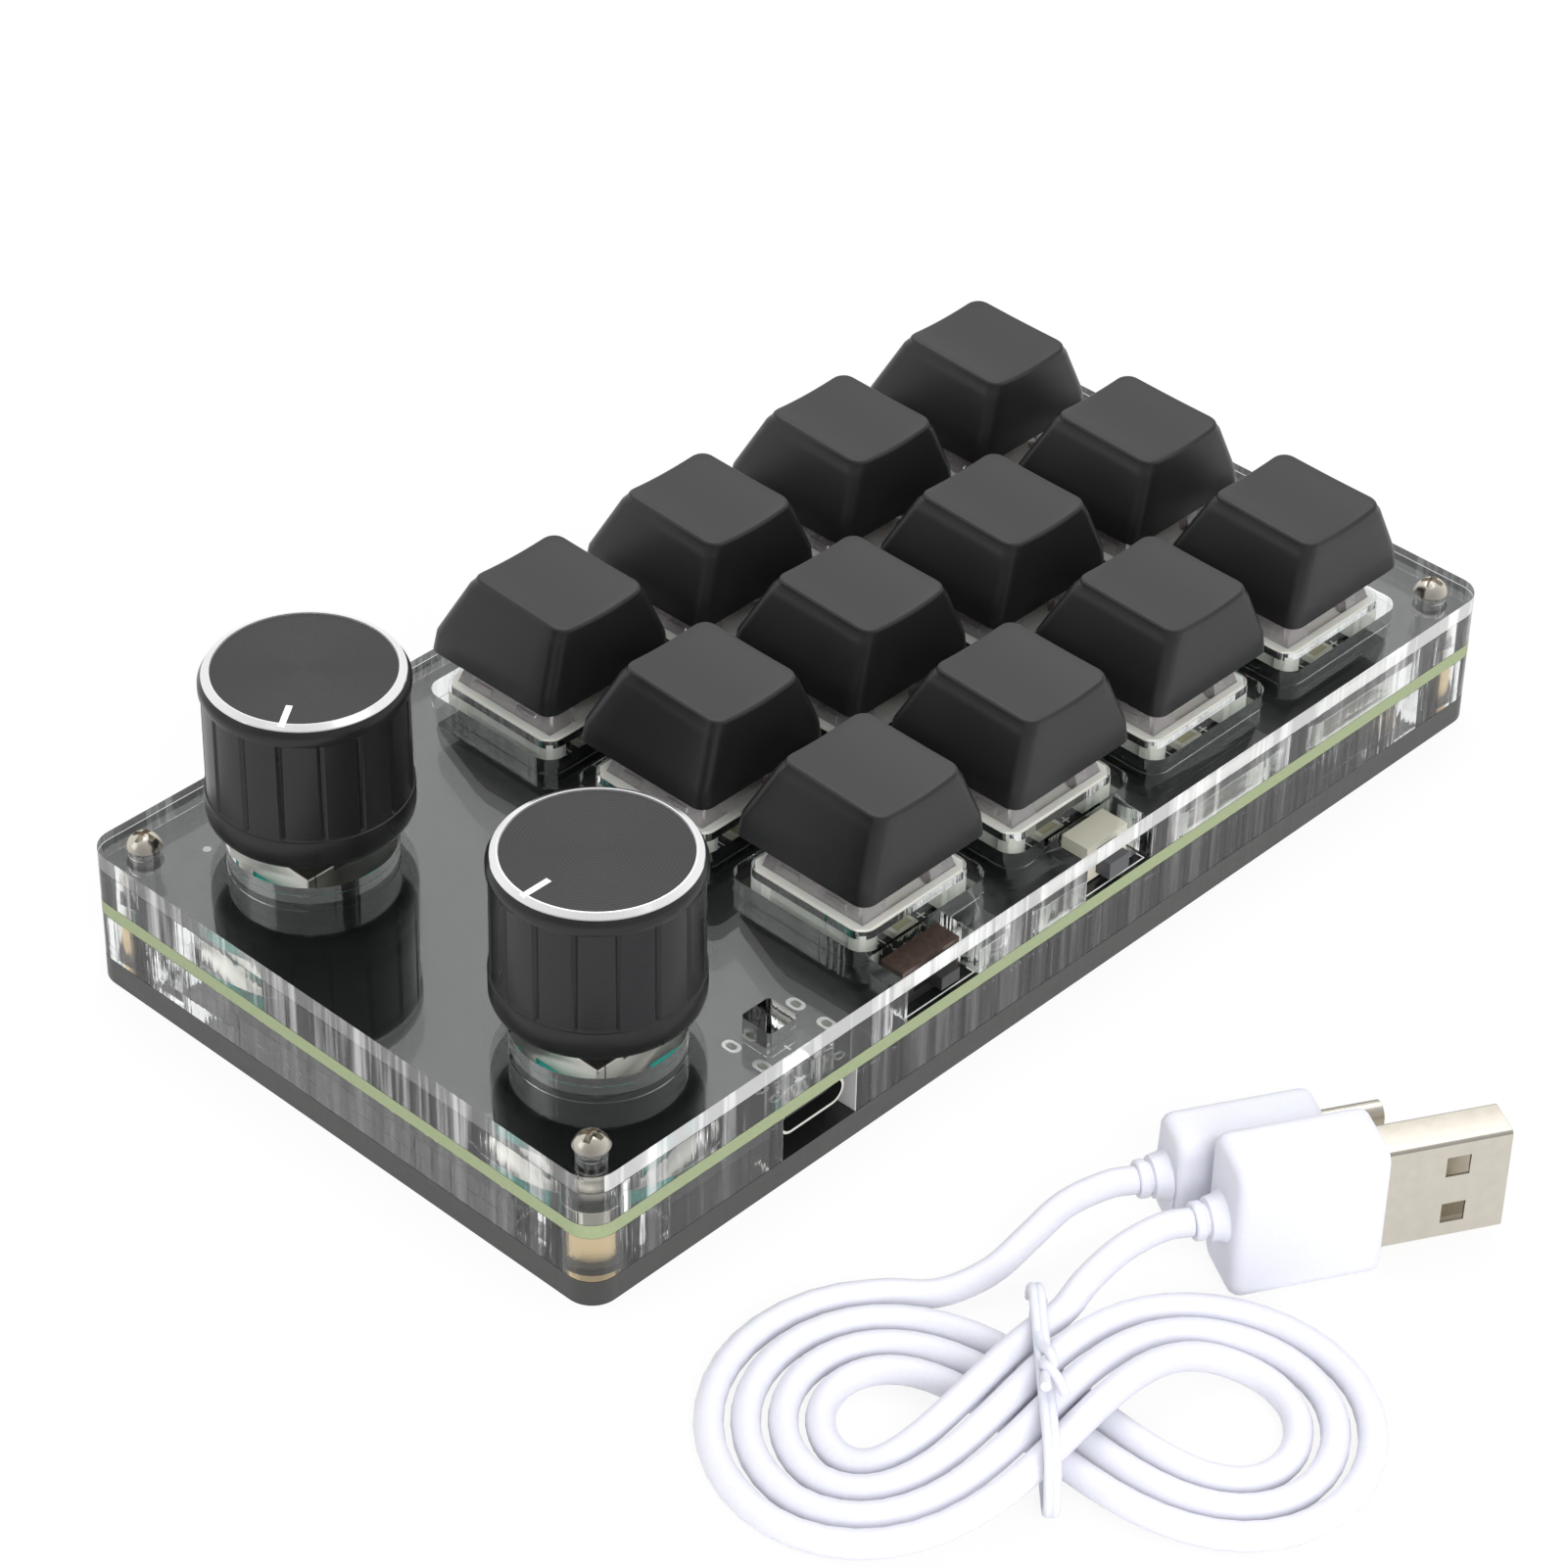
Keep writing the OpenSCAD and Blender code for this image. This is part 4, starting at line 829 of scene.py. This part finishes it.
cap.loft([[(px, py, z) for px, py in ring]
          for ring, z in ((cross, tube_foot), (cross, tube_top), (tube, tube_top), (tube, tube_foot))],
         closed=True)
cap_mesh = cap.written("key_cap", sharp=34)
for number, (key_x, key_y) in enumerate(keys, 1):
    mesh = cap_mesh.copy()
    mesh.transform(Matrix.Translation((key_x / 1000, key_y / 1000, cap_foot_z / 1000)))
    add_piece(f"cap_{number}", mesh, satin, body=f"key_{number}", replaces=[f"keycap_{number}"])

# The encoders have a green moulded base under a folded nickel-plated case, whose corner has a seam,
# and a turned shaft.
encoder_x, encoder_half, case_foot, case_top = 50.3, 6, board_top + 3.2, board_top + 6.8
green = new_finish("green_moulding")
green.set(base_color=green.blend(green.grain(0.9), (0.03, 0.36, 0.3), (0.05, 0.45, 0.38)), roughness=0.4)
finish_node("encoder_bases", green)
folded = new_finish("folded_case")
x, y, z = folded.axes()
blur = folded.grain(0.5)
on_socket_side = folded.facing()[1].above(0.7)
seam = (x - (encoder_x + encoder_half - 1)).size().below(0.09) * z.above(case_foot)
slot = (x - (encoder_x + 1.5)).size().below(1.1) * z.between(case_top - 0.7, case_top - 0.15)
shadow = seam.maths("MAXIMUM", slot) * on_socket_side
plated = folded.blend(blur, (0.78, 0.76, 0.7), (0.88, 0.86, 0.8))
folded.set(base_color=folded.blend(shadow, plated, (0.02, 0.02, 0.02)), metallic=1 - shadow,
           roughness=blur * 0.15 + 0.3, normal=folded.relief(folded.grain(3), 0.003))
cases = Shape()
cases.soften(cases.take("encoder_cases"), 0.2)
add_piece("folded_cases", cases.written("folded_cases"), folded, replaces=["encoder_cases"])
for node in ("front_shaft", "rear_shaft"):
    finish_node(node, nickel)

# The knobs are turned from aluminium and anodised black. Their upper edge is cut bright afterwards,
# and the pointer is filled with white paint.
knob_foot, knob_height, grooves = 19.4, 17.3, 16
groove_steps = ((-11.25, 0), (-8, 0), (-4.6, 0), (-2.1, 0), (-1.5, 0.1), (-0.7, 0.25), (0, 0.3), (0.7, 0.25),
                (1.5, 0.1), (2.1, 0), (4.6, 0), (8, 0))
knob_inside = ((0.3, 15.7), (9.4, 15.7), (9.4, 0.6), (8.8, 0.6), (8.8, 0.0))
knob_foot_band = ((9.3, 0.0), (9.75, 0.08), (10.14, 0.32), (10.4, 0.7), (10.5, 1.2), (10.5, 3.5),
                  (10.47, 3.56), (10.34, 3.62), (10.32, 3.68))
knob_grooved = ((10.3, 3.9), (10.25, 14.9))
knob_top_band = ((10.24, 15.14), (10.26, 15.18), (10.46, 15.24), (10.5, 15.34), (10.5, 16.1), (10.42, 16.32),
                 (10.25, 16.6), (10.05, 16.95), (9.45, 17.28), (9.28, 17.28), (9.25, 17.15), (0.3, 17.15))
disc_radius, bright_radius, top_depth = 9.23, 10.12, 0.45
pointer_start, pointer_end, pointer_half = 6.2, 9.7, 0.34
disc_lines, side_lines = 16, 22


def knob_mesh(name, centre):
    """The turned shell, with its grooves cut only between the two bands."""
    turns = [(math.radians((i + 0.5) * 360 / grooves + offset), depth)
             for i in range(grooves) for offset, depth in groove_steps]
    rings = []
    for profile, cut in ((knob_inside + knob_foot_band, 0), (knob_grooved, 1), (knob_top_band, 0)):
        for r, z in profile:
            rings.append([(centre[0] + (r - depth * cut) * math.cos(a),
                           centre[1] + (r - depth * cut) * math.sin(a), knob_foot + z) for a, depth in turns])
    knob = Shape()
    knob.loft(rings)
    return knob.written(name, sharp=28)


def knob_finish(name, centre, pointer):
    """Black anodising with a bright ring round the top's disc, and a painted pointer at an angle."""
    finish = new_finish(name)
    x, y, z = finish.axes()
    x, y = x - centre[0], y - centre[1]
    radius = (x * x + y * y).maths("SQRT")
    near_top = z.above(knob_foot + knob_height - top_depth)
    bright = radius.between(disc_radius, bright_radius) * near_top
    disc = radius.below(disc_radius) * near_top
    c, s = math.cos(math.radians(pointer)), math.sin(math.radians(pointer))
    paint = (x * c + y * s).between(pointer_start, pointer_end) * (y * c - x * s).size().below(pointer_half)
    paint = paint * near_top
    turning = (radius * disc_lines).maths("SINE") * 0.5 + 0.5
    ridges = (z * side_lines).maths("SINE") * 0.5 + 0.5
    side = (1 - disc) * (1 - bright)
    dark = finish.blend(disc, (0.022, 0.022, 0.022), (0.03, 0.03, 0.03))
    metal = finish.blend(bright, dark, (0.86, 0.86, 0.87))
    drawn = finish.grain(0.6, (1, 1, 0.3))
    finish.set(base_color=finish.blend(paint, metal, (0.85, 0.85, 0.85)),
               metallic=(1 - paint) * (bright * 0.4 + 0.5),
               roughness=disc * 0.06 + paint * 0.2 + (1 - bright) * (drawn * 0.1 + 0.1) + 0.14,
               normal=finish.relief(turning * disc * (1 - paint) * 3 + ridges * side, 0.006))
    return finish


front_knob_y, rear_knob_y = -21.2, 19.5
for side, knob_y, pointer in (("front", front_knob_y, 35), ("rear", rear_knob_y, 0)):
    name, centre = side + "_turned_knob", (encoder_x, knob_y)
    add_piece(name, knob_mesh(name, centre), knob_finish(side + "_knob_aluminium", centre, pointer),
              body=side + "_turn", replaces=[side + "_knob"])

# Plain black mouldings: the knobs' cores, the slide switch's body and lever, and the parts under
# the board.
black_moulding = new_finish("black_moulding")
black_moulding.set(base_color=(0.02, 0.02, 0.02), roughness=black_moulding.grain(1.5) * 0.15 + 0.3)
for node in ("front_knob_core", "rear_knob_core", "slide_switch_body", "slide_switch_lever",
             "board_components"):
    finish_node(node, black_moulding)

# The socket is folded from nickel-plated steel round a black tongue. Inside its mouth it is painted dark: the
# tongue's own black, and painted shade on the steel walls.
socket = new_finish("socket_steel")
x, y, z = socket.axes()
socket_x, socket_z, mouth_y, mouth_half_wide, mouth_half_high = 37.15, 6.87, 35.3, 4.2, 1.36
# Painted shade: everything behind the mouth's opening is painted near black and not metallic.
mouth_shade = (z - socket_z).size().below(mouth_half_high) * (x - socket_x).size().below(mouth_half_wide)
mouth_shade = mouth_shade * y.below(mouth_y)
plating = socket.grain(2)
bright_plate = socket.blend(plating, (0.7, 0.68, 0.63), (0.78, 0.76, 0.71))
socket.set(base_color=socket.blend(mouth_shade, bright_plate, (0.012, 0.012, 0.012)), metallic=1 - mouth_shade,
           roughness=plating * 0.1 + 0.2)
finish_node("usb_socket", socket)

# The slide switch has a tarnished tin cover over its black body.
tin = new_finish("tarnished_tin")
tin.set(base_color=tin.blend(tin.grain(1.5), (0.12, 0.075, 0.06), (0.3, 0.2, 0.16)), metallic=0.8,
        roughness=0.32)
finish_node("slide_switch_cover", tin)

# The side button has a cream body and a grey plunger.
cream = new_finish("cream_moulding")
cream.set(base_color=(0.7, 0.66, 0.55), roughness=cream.grain(1.5) * 0.1 + 0.35)
finish_node("side_button_body", cream)
grey = new_finish("grey_moulding")
grey.set(base_color=(0.06, 0.062, 0.068), roughness=grey.grain(1.5) * 0.1 + 0.35)
finish_node("side_button_plunger", grey)
